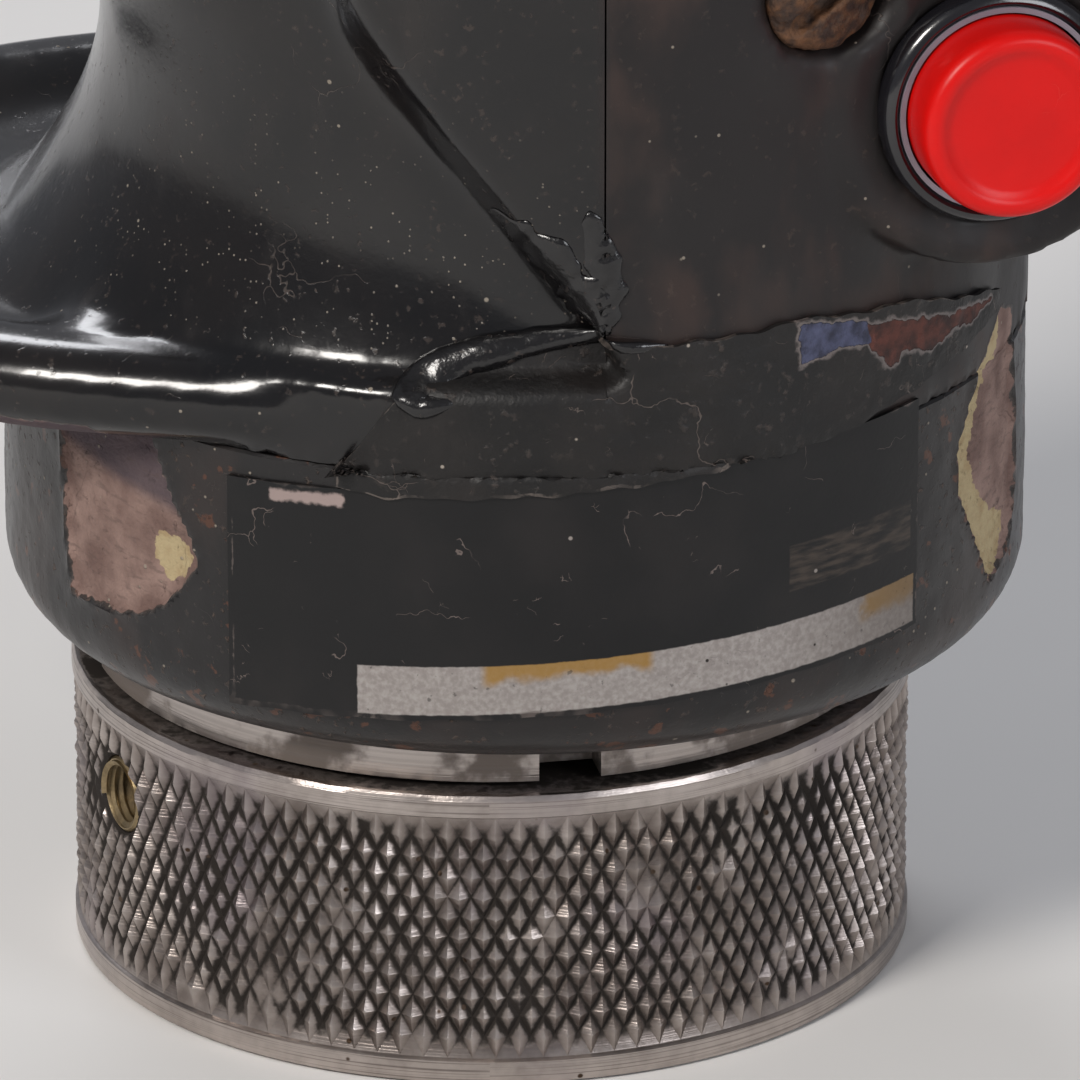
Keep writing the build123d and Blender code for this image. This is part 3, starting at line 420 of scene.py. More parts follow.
@dataclass(frozen=True)
class KnurledAlloy:
    """Knurled alloy with bright worn points and dark grime in its grooves."""

    bright: Triple = (0.56, 0.5, 0.465)
    dull: Triple = (0.17, 0.14, 0.125)
    grime: Triple = (0.016, 0.011, 0.008)

    def build(self, name: str) -> bpy.types.Material:
        """Builds the material, under a name."""
        graph = Graph(name)
        high = graph.field("rise")
        patches = graph.noise(5.0, 4.0)
        clean = high + (graph.noise(0.5, 3.0) - 0.5) * 0.5 - patches.rise(0.45, 0.75) * 0.3
        dirty = clean.rise(0.4, 0.08)
        x, y, z = graph.axes()
        around = x._math("ARCTAN2", x, y) * 24.0
        lathe = graph.node("ShaderNodeCombineXYZ", {}, {0: around * 0.06, 1: z * 9.0, 2: 0.0})
        lines = graph.node("ShaderNodeTexNoise", {}, {"Vector": lathe, "Scale": 1.0, "Detail": 2.0})
        tone = (patches * 0.45 + graph.noise(0.9, 3.0) * 0.3 + high * 0.4).rise(0.35, 0.95)
        colour = graph.blend(tone, self.dull, self.bright)
        colour = graph.blend(lines.rise(0.5, 0.68) * high.rise(0.93, 1.0) * 0.6, colour, (0.1, 0.08, 0.07))
        colour = graph.blend(graph.noise(11.0, 3.0).rise(0.52, 0.75) * 0.5, colour, (0.26, 0.22, 0.25))
        colour = graph.blend(dirty, colour, self.grime)
        colour = graph.blend(graph.specks(1.3, 0.16, 0.16), colour, (0.07, 0.045, 0.03))
        roughness = 0.23 + patches * 0.16 + dirty * 0.45 + lines * 0.06
        height = lines * 0.8 + graph.noise(0.22, 2.0) * 0.4 + patches * 0.2
        return graph.close(colour, roughness, 1.0 - dirty * 0.85, graph.bump(height, 0.03))


@dataclass(frozen=True)
class PlainMetal:
    """Turned, plated or cast metal with fine tool lines, tarnish and stains."""

    colour: Triple
    tarnish: Triple = (0.12, 0.09, 0.07)
    roughness: float = 0.3
    lines: float = 0.6
    stains: float = 0.4
    centre_x: float = 0.0

    def build(self, name: str) -> bpy.types.Material:
        """Builds the material, under a name."""
        graph = Graph(name)
        x, y, z = graph.axes()
        across = x - self.centre_x
        radius = (across * across + y * y)._math("SQRT", across * across + y * y)
        lathe = graph.node("ShaderNodeCombineXYZ", {}, {0: radius * 7.0, 1: z * 7.0, 2: across * 0.05})
        lines = graph.node("ShaderNodeTexNoise", {}, {"Vector": lathe, "Scale": 1.0, "Detail": 2.0})
        patches = graph.noise(4.2, 5.0)
        stain = (patches + graph.noise(0.8, 3.0) * 0.3).rise(0.78 - self.stains * 0.3, 0.95 - self.stains * 0.3)
        colour = graph.blend(stain * 0.8, self.colour, self.tarnish)
        colour = graph.blend(lines.rise(0.35, 0.7) * 0.25, colour, tuple(0.4 * each for each in self.colour))
        roughness = self.roughness + patches * 0.15 + stain * 0.3
        height = lines * self.lines + graph.noise(0.3, 2.0) * 0.3
        return graph.close(colour, roughness, 1.0 - stain * 0.6, graph.bump(height, 0.025))


@dataclass(frozen=True)
class RustedSteel:
    """Steel under a crust of brown rust."""

    dark: Triple = (0.036, 0.02, 0.014)
    warm: Triple = (0.15, 0.068, 0.03)

    def build(self, name: str) -> bpy.types.Material:
        """Builds the material, under a name."""
        graph = Graph(name)
        crust = graph.noise(0.9, 6.0)
        colour = graph.blend(crust.rise(0.35, 0.7), self.dark, self.warm)
        colour = graph.blend(graph.noise(2.2, 4.0).rise(0.58, 0.75) * 0.6, colour, (0.09, 0.08, 0.075))
        height = crust * 0.7 + graph.noise(0.25, 3.0) * 0.5
        return graph.close(colour, 0.55 + crust * 0.35, 0.25, graph.bump(height, 0.22))


@dataclass(frozen=True)
class Moulded:
    """A moulded, sleeved or rubber surface, plain but handled."""

    colour: Triple
    roughness: float = 0.4
    grain: Grain = Grain.SMOOTH
    wear: float = 0.3
    coat: float = 0.0
    edge: Triple = (0.3, 0.28, 0.26)
    mottle: float = 1.0
    shine: float = 0.5

    def build(self, name: str) -> bpy.types.Material:
        """Builds the material, under a name."""
        graph = Graph(name)
        broad = graph.noise(4.0, 4.0)
        fine = graph.noise(0.25, 3.0)
        scuffs = graph.cracks(3.4, 0.02, 0.3 * self.wear)
        grime = graph.noise(1.5, 5.0).rise(0.6, 0.8) * self.wear
        colour = graph.blend(broad.rise(0.25, 0.8) * self.mottle, self.colour, tuple(0.72 * each for each in self.colour))
        colour = graph.blend(scuffs * self.wear, colour, self.edge)
        colour = graph.blend(grime * 0.5, colour, tuple(0.35 * each for each in self.colour))
        colour = graph.blend(graph.specks(0.9, 0.15, 0.05) * self.wear, colour, (0.3, 0.28, 0.25))
        height = fine * 0.2 + broad * 0.2 - scuffs * 0.3
        if self.grain is Grain.SPARKED:
            height = height + graph.noise(0.35, 2.0) * 1.2
        elif self.grain is Grain.WOVEN:
            x, y, z = graph.axes()
            weave = ((z * 5.0)._math("SINE", z * 5.0 + x * 3.0)) * ((z * 5.0)._math("SINE", z * 5.0 - x * 3.0))
            height = height + weave * 1.5
        roughness = self.roughness + broad * 0.1 + grime * 0.25
        return graph.close(colour, roughness, 0.0, graph.bump(height, 0.03), self.coat, shine=self.shine)


@dataclass(frozen=True)
class LabelFoil:
    """The black data plate: no lettering, a silver field, a dim field and years of scratches."""

    ground: Triple = (0.005, 0.005, 0.0055)
    silver: Triple = (0.4, 0.37, 0.35)
    stain: Triple = (0.33, 0.18, 0.03)
    dim: Triple = (0.05, 0.038, 0.03)
    silver_field: tuple[Pair, Pair] = ((-8.6, 24.75), (24.9, 27.6))
    dim_field: tuple[Pair, Pair] = ((15.8, 29.35), (24.6, 32.05))
    rubbed_field: tuple[Pair, Pair] = ((-13.7, 36.85), (-9.3, 37.55))

    @staticmethod
    def inside(around: Wire, along: Wire, corners: tuple[Pair, Pair], soft: float) -> Wire:
        """1 inside a rectangle.

        Args:
            around: The place round the drum.
            along: The height on the label.
            corners: The rectangle's lowest and highest corner.
            soft: The width of its edge.

        Returns:
            1 inside and 0 outside.
        """
        (low_u, low_v), (high_u, high_v) = corners
        wide = around.rise(low_u - soft, low_u + soft) * around.rise(high_u + soft, high_u - soft)
        tall = along.rise(low_v - soft, low_v + soft) * along.rise(high_v + soft, high_v - soft)
        return wide * tall

    def build(self, name: str) -> bpy.types.Material:
        """Builds the material, under a name."""
        graph = Graph(name)
        around, along = graph.drum_place()
        wobble = (graph.noise(0.5, 3.0) - 0.5) * 0.12
        worn = graph.noise(0.42, 4.0).rise(0.66, 0.74)
        strip = self.inside(around + wobble, along + wobble, self.silver_field, 0.05)
        window = self.inside(around + wobble, along + wobble, self.dim_field, 0.05)
        ripple = graph.noise(2.5, 4.0) - 0.5
        left_stain = self.inside(around, along + ripple * 2.0, ((-1.6, 26.65), (7.6, 29.5)), 0.3)
        right_stain = self.inside(around + ripple * 5.0, along + ripple * 2.0, ((21.2, 26.3), (29.0, 30.0)), 0.5)
        scratches = graph.cracks(6.0, 0.03, 0.35, (0.6, 0.8, 1.2)).larger(graph.cracks(2.2, 0.02, 0.1))
        silver = graph.blend(graph.noise(0.3, 3.0).rise(0.3, 0.75), (0.29, 0.26, 0.245), self.silver)
        silver = graph.blend(left_stain.larger(right_stain) * 0.85, silver, self.stain)
        silver = graph.blend(around.rise(13.0, 26.0) * 0.6, silver, (0.12, 0.1, 0.085))
        silver = graph.blend(graph.specks(1.0, 0.13, 0.12), silver, (0.03, 0.025, 0.022))
        colour = graph.blend(graph.noise(6.0, 4.0).rise(0.4, 0.8), self.ground, (0.012, 0.0105, 0.0105))
        fibres = graph.noise(0.5, 4.0, (0.3, 0.3, 1.5)).rise(0.35, 0.7)
        colour = graph.blend(window * fibres, colour, self.dim)
        rubbed = self.inside(around + wobble * 6.0, along + ripple * 0.8 + wobble * 4.0, self.rubbed_field, 0.12)
        # A pale broken line along the plate's edges: partly worn, peeled foil, partly a painted highlight on the edge.
        edge = (graph.field("edge") + (graph.noise(0.6, 5.0) - 0.5) * 0.5).rise(0.93, 1.0)
        edge = edge * graph.noise(4.0, 4.0).rise(0.47, 0.6)
        colour = graph.blend(strip * (1.0 - worn * 0.5), colour, silver)
        colour = graph.blend(scratches * (1.0 - strip) * 0.6, colour, (0.19, 0.15, 0.135))
        colour = graph.blend(edge * 0.6, colour, (0.13, 0.105, 0.095))
        colour = graph.blend(rubbed * 0.85, colour, (0.36, 0.28, 0.26))
        colour = graph.blend(graph.specks(1.5, 0.1, 0.1), colour, (0.25, 0.22, 0.2))
        height = graph.noise(0.3, 2.0) * 0.3 + graph.noise(2.5, 3.0) * 0.8 - scratches * 0.4
        roughness = 0.33 + graph.noise(3.0, 3.0) * 0.2 + scratches * 0.2
        return graph.close(colour, roughness, strip * 0.5, graph.bump(height, 0.035), shine=0.35)


@dataclass(frozen=True)
class TapeFilm:
    """The black film round the drum's top: dull, wrinkled and torn, with old colours under its tears."""

    ground: Triple = (0.006, 0.0055, 0.0055)
    blue: Triple = (0.07, 0.078, 0.14)
    brown: Triple = (0.105, 0.032, 0.022)

    def build(self, name: str) -> bpy.types.Material:
        """Builds the material, under a name."""
        graph = Graph(name)
        ragged = (graph.noise(0.7, 5.0) - 0.5) * 0.9
        blue = (graph.field("blue") + ragged).rise(1.0, 1.08)
        brown = (graph.field("brown") + ragged).rise(1.0, 1.08)
        torn = blue.larger(brown)
        flecks = graph.noise(0.6, 6.0).rise(0.57, 0.7) * graph.noise(3.5, 3.0).rise(0.35, 0.65)
        cracks = graph.cracks(7.0, 0.04, 0.5, (0.6, 0.6, 1.0)).larger(graph.cracks(2.4, 0.025, 0.2))
        colour = graph.blend(graph.noise(5.0, 5.0).rise(0.35, 0.8), self.ground, (0.014, 0.0115, 0.0105))
        colour = graph.blend(flecks * 0.5, colour, (0.07, 0.054, 0.046))
        colour = graph.blend(cracks * 0.55, colour, (0.15, 0.12, 0.105))
        colour = graph.blend(graph.specks(1.2, 0.12, 0.08), colour, (0.3, 0.26, 0.22))
        edge = (graph.field("edge") + (graph.noise(0.7, 5.0) - 0.5) * 0.7).rise(0.92, 1.0)
        edge = edge * graph.noise(3.0, 4.0).rise(0.42, 0.6)
        rim = (graph.field("blue").larger(graph.field("brown")) + ragged).rise(0.75, 0.98) * (1.0 - torn)
        colour = graph.blend(edge * 0.6, colour, (0.14, 0.115, 0.1))
        colour = graph.blend(rim * 0.7, colour, (0.2, 0.17, 0.16))
        paint_tone = graph.noise(0.8, 4.0).rise(0.3, 0.7)
        blue_paint = graph.blend(paint_tone, self.blue, (0.022, 0.024, 0.045))
        brown_paint = graph.blend(paint_tone, self.brown, (0.03, 0.012, 0.01))
        colour = graph.blend(brown, colour, brown_paint)
        colour = graph.blend(blue, colour, blue_paint)
        height = graph.noise(1.3, 4.0) * 0.9 + graph.noise(0.3, 3.0) * 0.5 + flecks * 0.5 - cracks * 0.4 - torn * 1.2
        roughness = 0.32 + graph.noise(2.2, 4.0) * 0.3 + torn * 0.2
        return graph.close(colour, roughness, 0.0, graph.bump(height, 0.08), shine=0.4)


@dataclass(frozen=True)
class Sealant:
    """Black sealant that ran and set hard, glossy on top."""

    colour: Triple = (0.006, 0.0055, 0.006)

    def build(self, name: str) -> bpy.types.Material:
        """Builds the material, under a name."""
        graph = Graph(name)
        dirt = graph.noise(0.6, 5.0).rise(0.62, 0.72)
        colour = graph.blend(dirt * 0.5, self.colour, (0.07, 0.05, 0.04))
        height = graph.noise(0.9, 3.0) * 0.8 + graph.noise(0.25, 2.0) * 0.2
        return graph.close(colour, 0.24 + dirt * 0.4, 0.0, graph.bump(height, 0.12), 0.25, 0.1)


FINISHES = {
    "knurled_alloy": KnurledAlloy(),
    "turned_steel": PlainMetal((0.5, 0.45, 0.42), stains=0.75, lines=1.0),
    "brass": PlainMetal((0.36, 0.275, 0.155), (0.085, 0.06, 0.032), 0.34, stains=0.8),
    "spring_steel": PlainMetal((0.55, 0.55, 0.56), roughness=0.25, stains=0.2),
    "black_casting": WornBlack(gloss=0.27, matt=0.5, lumps=0.16, rust=0.75, dust=0.8, grit=0.95),
    "label_foil": LabelFoil(),
    "black_moulding": WornBlack(),
    "black_nylon": Moulded((0.016, 0.016, 0.0165), 0.46, Grain.SPARKED),
    "bezel_black": Moulded((0.007, 0.0065, 0.009), 0.17, wear=0.2, coat=0.6),
    "button_red": Moulded((0.66, 0.004, 0.003), 0.3, wear=0.12, edge=(0.8, 0.2, 0.15), mottle=0.35, shine=0.28),
    "button_grey": Moulded((0.2, 0.2, 0.205), 0.38),
    "sleeve_grey": Moulded((0.24, 0.22, 0.26), 0.4, wear=0.6),
    "rusty_steel": RustedSteel(),
    "spine_alloy": PlainMetal((0.6, 0.6, 0.61), roughness=0.45, lines=0.2),
    "rubber_seal": Moulded((0.02, 0.02, 0.02), 0.62, Grain.SPARKED),
    "connector_plastic": Moulded((0.07, 0.055, 0.035), 0.45),
    "gold_contact": PlainMetal((0.83, 0.62, 0.27), roughness=0.22, stains=0.1),
    "wire_sleeve": Moulded((0.16, 0.16, 0.18), 0.6, Grain.WOVEN),
    "switch_body": Moulded((0.05, 0.05, 0.055), 0.42, Grain.SPARKED),
    "zinc_screw": PlainMetal((0.52, 0.5, 0.46), roughness=0.34, stains=0.6),
}


class Workshop:
    """Hands out materials by slot, and holds the frame's nodes."""

    def __init__(self, frame: dict) -> None:
        """Builds one material for each slot.
        """
        self.nodes: dict[str, bpy.types.Object] = frame["nodes"]
        self.bodies = {node: body for body, held in frame["record"]["behaviour"]["bodies"].items() for node in held}
        self.slots = {entry["node"]: entry["material_slot"] for entry in frame["record"]["subparts"]}
        self.materials = {slot: finish.build(slot) for slot, finish in FINISHES.items()}

    def dress_nodes(self) -> None:
        """Gives every CAD node its slot's material."""
        for name, node in self.nodes.items():
            for holder in node.material_slots:
                holder.link = "OBJECT"
                holder.material = self.materials[self.slots[name]]


class Shape:
    """A mesh in millimetres that ends up as one finished piece."""

    def __init__(self) -> None:
        """Starts an empty mesh."""
        self.bm = bmesh.new()

    def lathe(self, profile: Sequence[Pair], steps: int, closed: bool = True, frame: Matrix | None = None) -> list:
        """Turns a profile round the Z axis.

        Args:
            profile: Radius and height of each point, in order.
            steps: How many steps the turn has.
            closed: Whether the last point joins the first.
            frame: Where the turned solid goes.

        Returns:
            The new points.
        """
        old = set(self.bm.verts)
        points = [self.bm.verts.new((radius, 0.0, height)) for radius, height in profile]
        edges = [self.bm.edges.new(pair) for pair in zip(points, points[1:])]
        if closed:
            edges.append(self.bm.edges.new((points[-1], points[0])))
        bmesh.ops.spin(
            self.bm,
            geom=points + edges,
            cent=(0.0, 0.0, 0.0),
            axis=(0.0, 0.0, 1.0),
            angle=math.tau,
            steps=steps,
            use_merge=True,
        )
        new = [vert for vert in self.bm.verts if vert not in old]
        bmesh.ops.remove_doubles(self.bm, verts=new, dist=0.0005)
        new = [vert for vert in self.bm.verts if vert not in old]
        if frame:
            bmesh.ops.transform(self.bm, matrix=frame, verts=new)
        return new

    def thread(self, root: float, crest: float, pitch: float, low: float, turns: float, frame: Matrix | None = None) -> None:
        """Adds a helical rib.

        Args:
            root: The rib's radius where it stands on its wall.
            crest: The radius of its edge.
            pitch: Its rise in one turn.
            low: Where it starts.
            turns: How many turns it has.
            frame: Where it goes.
        """
        old = set(self.bm.verts)
        corners = ((root, 0.06 * pitch), (crest, 0.44 * pitch), (crest, 0.56 * pitch), (root, 0.94 * pitch))
        points = [self.bm.verts.new((radius, 0.0, low + height)) for radius, height in corners]
        end = self.bm.faces.new(points)
        steps = round(72 * turns)
        spun = bmesh.ops.spin(
            self.bm,
            geom=list(end.edges) + points,
            cent=(0.0, 0.0, 0.0),
            axis=(0.0, 0.0, 1.0),
            dvec=(0.0, 0.0, pitch * turns / steps),
            angle=math.tau * turns,
            steps=steps,
        )
        last = [item for item in spun["geom_last"] if isinstance(item, bmesh.types.BMEdge)]
        bmesh.ops.contextual_create(self.bm, geom=last)
        new = [vert for vert in self.bm.verts if vert not in old]
        if frame:
            bmesh.ops.transform(self.bm, matrix=frame, verts=new)

    def places(self) -> np.ndarray:
        """Every point's place, in millimetres."""
        return np.array([vert.co for vert in self.bm.verts], dtype=float).reshape(-1, 3)

    def move(self, places: np.ndarray) -> None:
        """Puts every point at a new place."""
        for vert, place in zip(self.bm.verts, places):
            vert.co = place

    def mesh(self, name: str, crease: float = 38.0) -> bpy.types.Mesh:
        """Makes a mesh in metres.

        Args:
            name: The mesh's name.
            crease: The angle in degrees from which an edge stays sharp.

        Returns:
            The mesh.
        """
        bmesh.ops.recalc_face_normals(self.bm, faces=self.bm.faces)
        limit = math.radians(crease)
        for face in self.bm.faces:
            face.smooth = True
        for edge in self.bm.edges:
            edge.smooth = edge.calc_face_angle(0.0) < limit
        bmesh.ops.scale(self.bm, vec=(MM, MM, MM), verts=self.bm.verts)
        mesh = bpy.data.meshes.new(name)
        self.bm.to_mesh(mesh)
        self.bm.free()
        return mesh


def show(
    name: str,
    mesh: bpy.types.Mesh,
    shop: Workshop,
    nodes: Sequence[str],
    slot: str = "",
    body: str = "",
    material: bpy.types.Material | None = None,
) -> bpy.types.Object:
    """Puts a finished mesh in the scene as a piece.

    Args:
        name: The piece's name.
        mesh: Its mesh, in metres.
        shop: The workshop.
        nodes: The CAD nodes it stands for, or none where it only covers them.
        slot: Its material slot, that of the first node by default.
        body: The body it rides on, that of the first node by default.
        material: Its material, that of the slot by default.

    Returns:
        The piece.
    """
    piece = bpy.data.objects.new(name, mesh)
    bpy.context.scene.collection.objects.link(piece)
    slot = slot or shop.slots[nodes[0]]
    mesh.materials.clear()
    mesh.materials.append(material or shop.materials[slot])
    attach(piece, body or shop.bodies[nodes[0]])
    if nodes:
        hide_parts(*nodes)
    log.info("%s: %d faces", name, len(mesh.polygons))
    return piece


def paint(mesh: bpy.types.Mesh, name: str, values: np.ndarray) -> None:
    """Stores one number for each point of a mesh under a name."""
    mesh.attributes.new(name, "FLOAT", "POINT").data.foreach_set("value", values.astype(np.float32))


def mesh_places(mesh: bpy.types.Mesh) -> np.ndarray:
    """Every point's place in a mesh, in millimetres."""
    places = np.empty(len(mesh.vertices) * 3)
    mesh.vertices.foreach_get("co", places)
    return places.reshape(-1, 3) / MM


def drum_place(places: np.ndarray) -> tuple[np.ndarray, np.ndarray]:
    """The distance round the drum from straight ahead and the height, of each place."""
    around = np.arctan2(places[:, 0] - BASE_OFFSET, -places[:, 1]) * BASE_RADIUS
    return around, places[:, 2]


def soft_noise(places: np.ndarray, size: float, seed: float = 0.0) -> np.ndarray:
    """Noise from -1 to 1 at each place.

    Args:
        places: The places, in millimetres.
        size: The size of the noise's patches.
        seed: A shift that makes one pattern differ from another.

    Returns:
        One number for each place.
    """
    shift = Vector((seed, 1.7 * seed, -seed))
    return np.array([noise.noise(Vector(place) / size + shift) for place in places])


def step(values: np.ndarray, low: float, high: float) -> np.ndarray:
    """A smooth step from 0 at low to 1 at high."""
    share = np.clip((values - low) / (high - low), 0.0, 1.0)
    return share * share * (3.0 - 2.0 * share)


def depth_inside(around: np.ndarray, height: np.ndarray, outline: Sequence[Pair]) -> np.ndarray:
    """How far each place is inside an outline drawn on the drum.

    Args:
        around: The distance round the drum.
        height: The height.
        outline: The outline's corners.

    Returns:
        The distance to the outline, under 0 outside it.
    """
    nearest = np.full(around.shape, 1e9)
    inside = np.zeros(around.shape, dtype=bool)
    for (u0, v0), (u1, v1) in zip(outline, (*outline[1:], outline[0])):
        along = np.clip(((around - u0) * (u1 - u0) + (height - v0) * (v1 - v0)) / ((u1 - u0) ** 2 + (v1 - v0) ** 2), 0, 1)
        nearest = np.minimum(nearest, np.hypot(around - u0 - along * (u1 - u0), height - v0 - along * (v1 - v0)))
        crosses = (v0 > height) != (v1 > height)
        inside ^= crosses & (around < (u1 - u0) * (height - v0) / ((v1 - v0) or 1e-9) + u0)
    return np.where(inside, nearest, -nearest)


def wrap(places: np.ndarray, radius: float) -> np.ndarray:
    """Bends a flat sheet onto the drum.

    Args:
        places: X is the distance round, Y the height and Z the height over the surface.
        radius: The surface's radius.

    Returns:
        The bent places.
    """
    turn = places[:, 0] / BASE_RADIUS
    out = radius + places[:, 2]
    return np.stack((BASE_OFFSET + out * np.sin(turn), -out * np.cos(turn), places[:, 1]), axis=1)


class Evaluator:
    """Applies modifiers to a mesh outside the scene's shown pieces."""

    @staticmethod
    def apply(mesh: bpy.types.Mesh, *kinds: tuple[str, dict[str, object]]) -> bpy.types.Mesh:
        """Runs modifiers over a mesh.

        Args:
            mesh: The mesh to start from.
            kinds: Each modifier's type and settings.

        Returns:
            A new mesh.
        """
        holder = bpy.data.objects.new("holder", mesh)
        bpy.context.scene.collection.objects.link(holder)
        for kind, settings in kinds:
            modifier = holder.modifiers.new(kind.lower(), kind)
            for key, value in settings.items():
                setattr(modifier, key, value)
        graph = bpy.context.evaluated_depsgraph_get()
        result = bpy.data.meshes.new_from_object(holder.evaluated_get(graph))
        bpy.data.objects.remove(holder)
        return result

    @classmethod
    def cut(cls, mesh: bpy.types.Mesh, cutter: bpy.types.Mesh) -> bpy.types.Mesh:
        """Takes one closed mesh away from another."""
        tool = bpy.data.objects.new("cutter", cutter)
        bpy.context.scene.collection.objects.link(tool)
        result = cls.apply(mesh, ("BOOLEAN", {"operation": "DIFFERENCE", "solver": "EXACT", "object": tool}))
        bpy.data.objects.remove(tool)
        return result


@dataclass
class CouplingRing:
    """The knurled ring, its thread, and the threaded bush in its side."""

    outer: float = 24.0
    root: float = 23.42
    bore: float = 22.0
    crest: float = 21.2
    web_bore: float = 19.06
    height: float = 17.6
    web_low: float = 9.6
    low_band: float = 1.6
    high_band: float = 1.45
    rows: int = 12
    columns: int = 222
    bush_bearing: float = -153.1
    bush_height: float = 12.0

    def bush_frame(self) -> Matrix:
        """The set screw's frame: its Z axis points outwards."""
        turn = Matrix.Rotation(math.radians(self.bush_bearing), 4, "Z")
        lift = Matrix.Translation((0.0, 0.0, self.bush_height))
        return lift @ turn @ Matrix.Rotation(math.pi / 2, 4, "Y")

    def knurl(self, shape: Shape) -> None:
        """Raises the points of the knurl on a turned ring, and wears some of them down."""
        draw = random.Random(7)
        low, high = self.low_band, self.height - self.high_band
        pitch = (high - low) / self.rows
        peaks, valleys = [], []
        for vert in shape.bm.verts:
            radius = math.hypot(vert.co.x, vert.co.y)
            row = (vert.co.z - low) / pitch
            if radius < self.root - 0.2 or row < -0.05 or row > self.rows + 0.05:
                continue
            turn = math.atan2(vert.co.y, vert.co.x)
            column = round(turn / math.tau * self.columns)
            group = valleys if (column + round(row)) % 2 else peaks
            group.append((vert, turn, round(row)))
        bmesh.ops.connect_verts(shape.bm, verts=[vert for vert, _, _ in valleys])
        for vert, turn, row in valleys + peaks:
            worn = noise.noise(vert.co / 4.5 + Vector((3.1, 0.0, 0.0)))
            clogged = max(0.0, noise.noise(vert.co / 2.6) - 0.18)
            raised = (round(turn / math.tau * self.columns) + row) % 2 == 0
            radius = self.root + clogged * 0.5
            if raised:
                radius = self.outer - 0.03 - 0.12 * draw.random() ** 2 - 0.35 * max(0.0, worn - 0.15)
            if row in (0, self.rows):
                radius = self.outer - 0.22
            turn += draw.uniform(-1.0, 1.0) * 0.03 / self.outer
            vert.co.x, vert.co.y = radius * math.cos(turn), radius * math.sin(turn)
            vert.co.z += draw.uniform(-1.0, 1.0) * 0.03 if 0 < row < self.rows else 0.0
        tips = [vert for vert, _, row in peaks if 0 < row < self.rows]
        bmesh.ops.bevel(
            shape.bm,
            geom=tips,
            offset=0.1,
            affect="VERTICES",
            segments=1,
            profile=0.5,
            material=-1,
            clamp_overlap=True,
        )

    def build(self, shop: Workshop) -> None:
        """Builds the ring and its bush."""
        shape = Shape()
        pitch = (self.height - self.low_band - self.high_band) / self.rows
        outside = [(self.outer - 0.22, self.low_band + n * pitch) for n in range(self.rows + 1)]
        profile = [
            (self.bore + 0.35, 0.0),
            (self.outer - 0.9, 0.0),
            (self.outer - 0.4, 0.03),
            (self.outer - 0.1, 0.16),
            (self.outer, 0.42),
            (self.outer, self.low_band - 0.14),
            *outside,
            (self.outer, self.height - self.high_band + 0.14),
            (self.outer, self.height - 0.8),
            (self.outer, self.height - 0.35),
            (self.outer - 0.14, self.height - 0.06),
            (self.outer - 0.4, self.height),
            (self.web_bore + 1.6, self.height),
            (self.web_bore + 0.3, self.height),
            (self.web_bore, self.height - 0.3),
            (self.web_bore, self.web_low),
            (self.bore, self.web_low),
            (self.bore, 0.35),
        ]
        shape.lathe(profile, self.columns)
        self.knurl(shape)
        self.batter(shape)
        hole = Shape()
        cutter = [(0.0, 17.5), (2.26, 17.5), (2.26, 23.35), (2.75, 24.1), (2.75, 26.0), (0.0, 26.0)]
        hole.lathe(cutter, 48, False, self.bush_frame())
        mesh = Evaluator.cut(shape.mesh("ring"), hole.mesh("hole"))
        ring = Shape()
        ring.bm.from_mesh(mesh)
        bmesh.ops.scale(ring.bm, vec=(1 / MM,) * 3, verts=ring.bm.verts)
        ring.thread(self.bore + 0.02, self.crest, 1.5, 0.1, 4.2)
        mesh = ring.mesh("coupling_ring_knurled", 24.0)
        places = mesh_places(mesh)
        radii = np.hypot(places[:, 0], places[:, 1])
        paint(mesh, "rise", np.clip((radii - self.root) / (self.outer - self.root - 0.05), 0.0, 1.0))
        show("coupling_ring_knurled", mesh, shop, ["coupling_ring"])
        self.build_bush(shop)

    def batter(self, shape: Shape) -> None:
        """Dents and burrs the ring's plain upper band."""
        places = shape.places()
        radii = np.hypot(places[:, 0], places[:, 1])
        band = step(places[:, 2], self.height - self.high_band - 0.1, self.height - 0.4) * (radii > self.outer - 0.6)
        dents = soft_noise(places, 2.4, 5.0)
        change = band * (0.05 * soft_noise(places, 0.9, 2.0) - 0.22 * np.maximum(0.0, dents - 0.42))
        scale = 1.0 + change / np.maximum(radii, 1.0)
        places[:, 0] *= scale
        places[:, 1] *= scale
        places[:, 2] += band * 0.05 * soft_noise(places, 1.6, 9.0)
        shape.move(places)

    def build_bush(self, shop: Workshop) -> None:
        """Builds the brass bush with its inner thread."""
        bush = Shape()
        profile = [(2.0, 19.3), (2.2, 19.3), (2.2, 23.3), (2.05, 23.45), (1.98, 23.45), (1.9, 23.3)]
        bush.lathe(profile, 48, True, self.bush_frame())
        bush.thread(1.95, 1.68, 0.5, 21.9, 2.8, self.bush_frame())
        show("set_screw_bush_threaded", bush.mesh("set_screw_bush_threaded"), shop, ["set_screw_bush"])


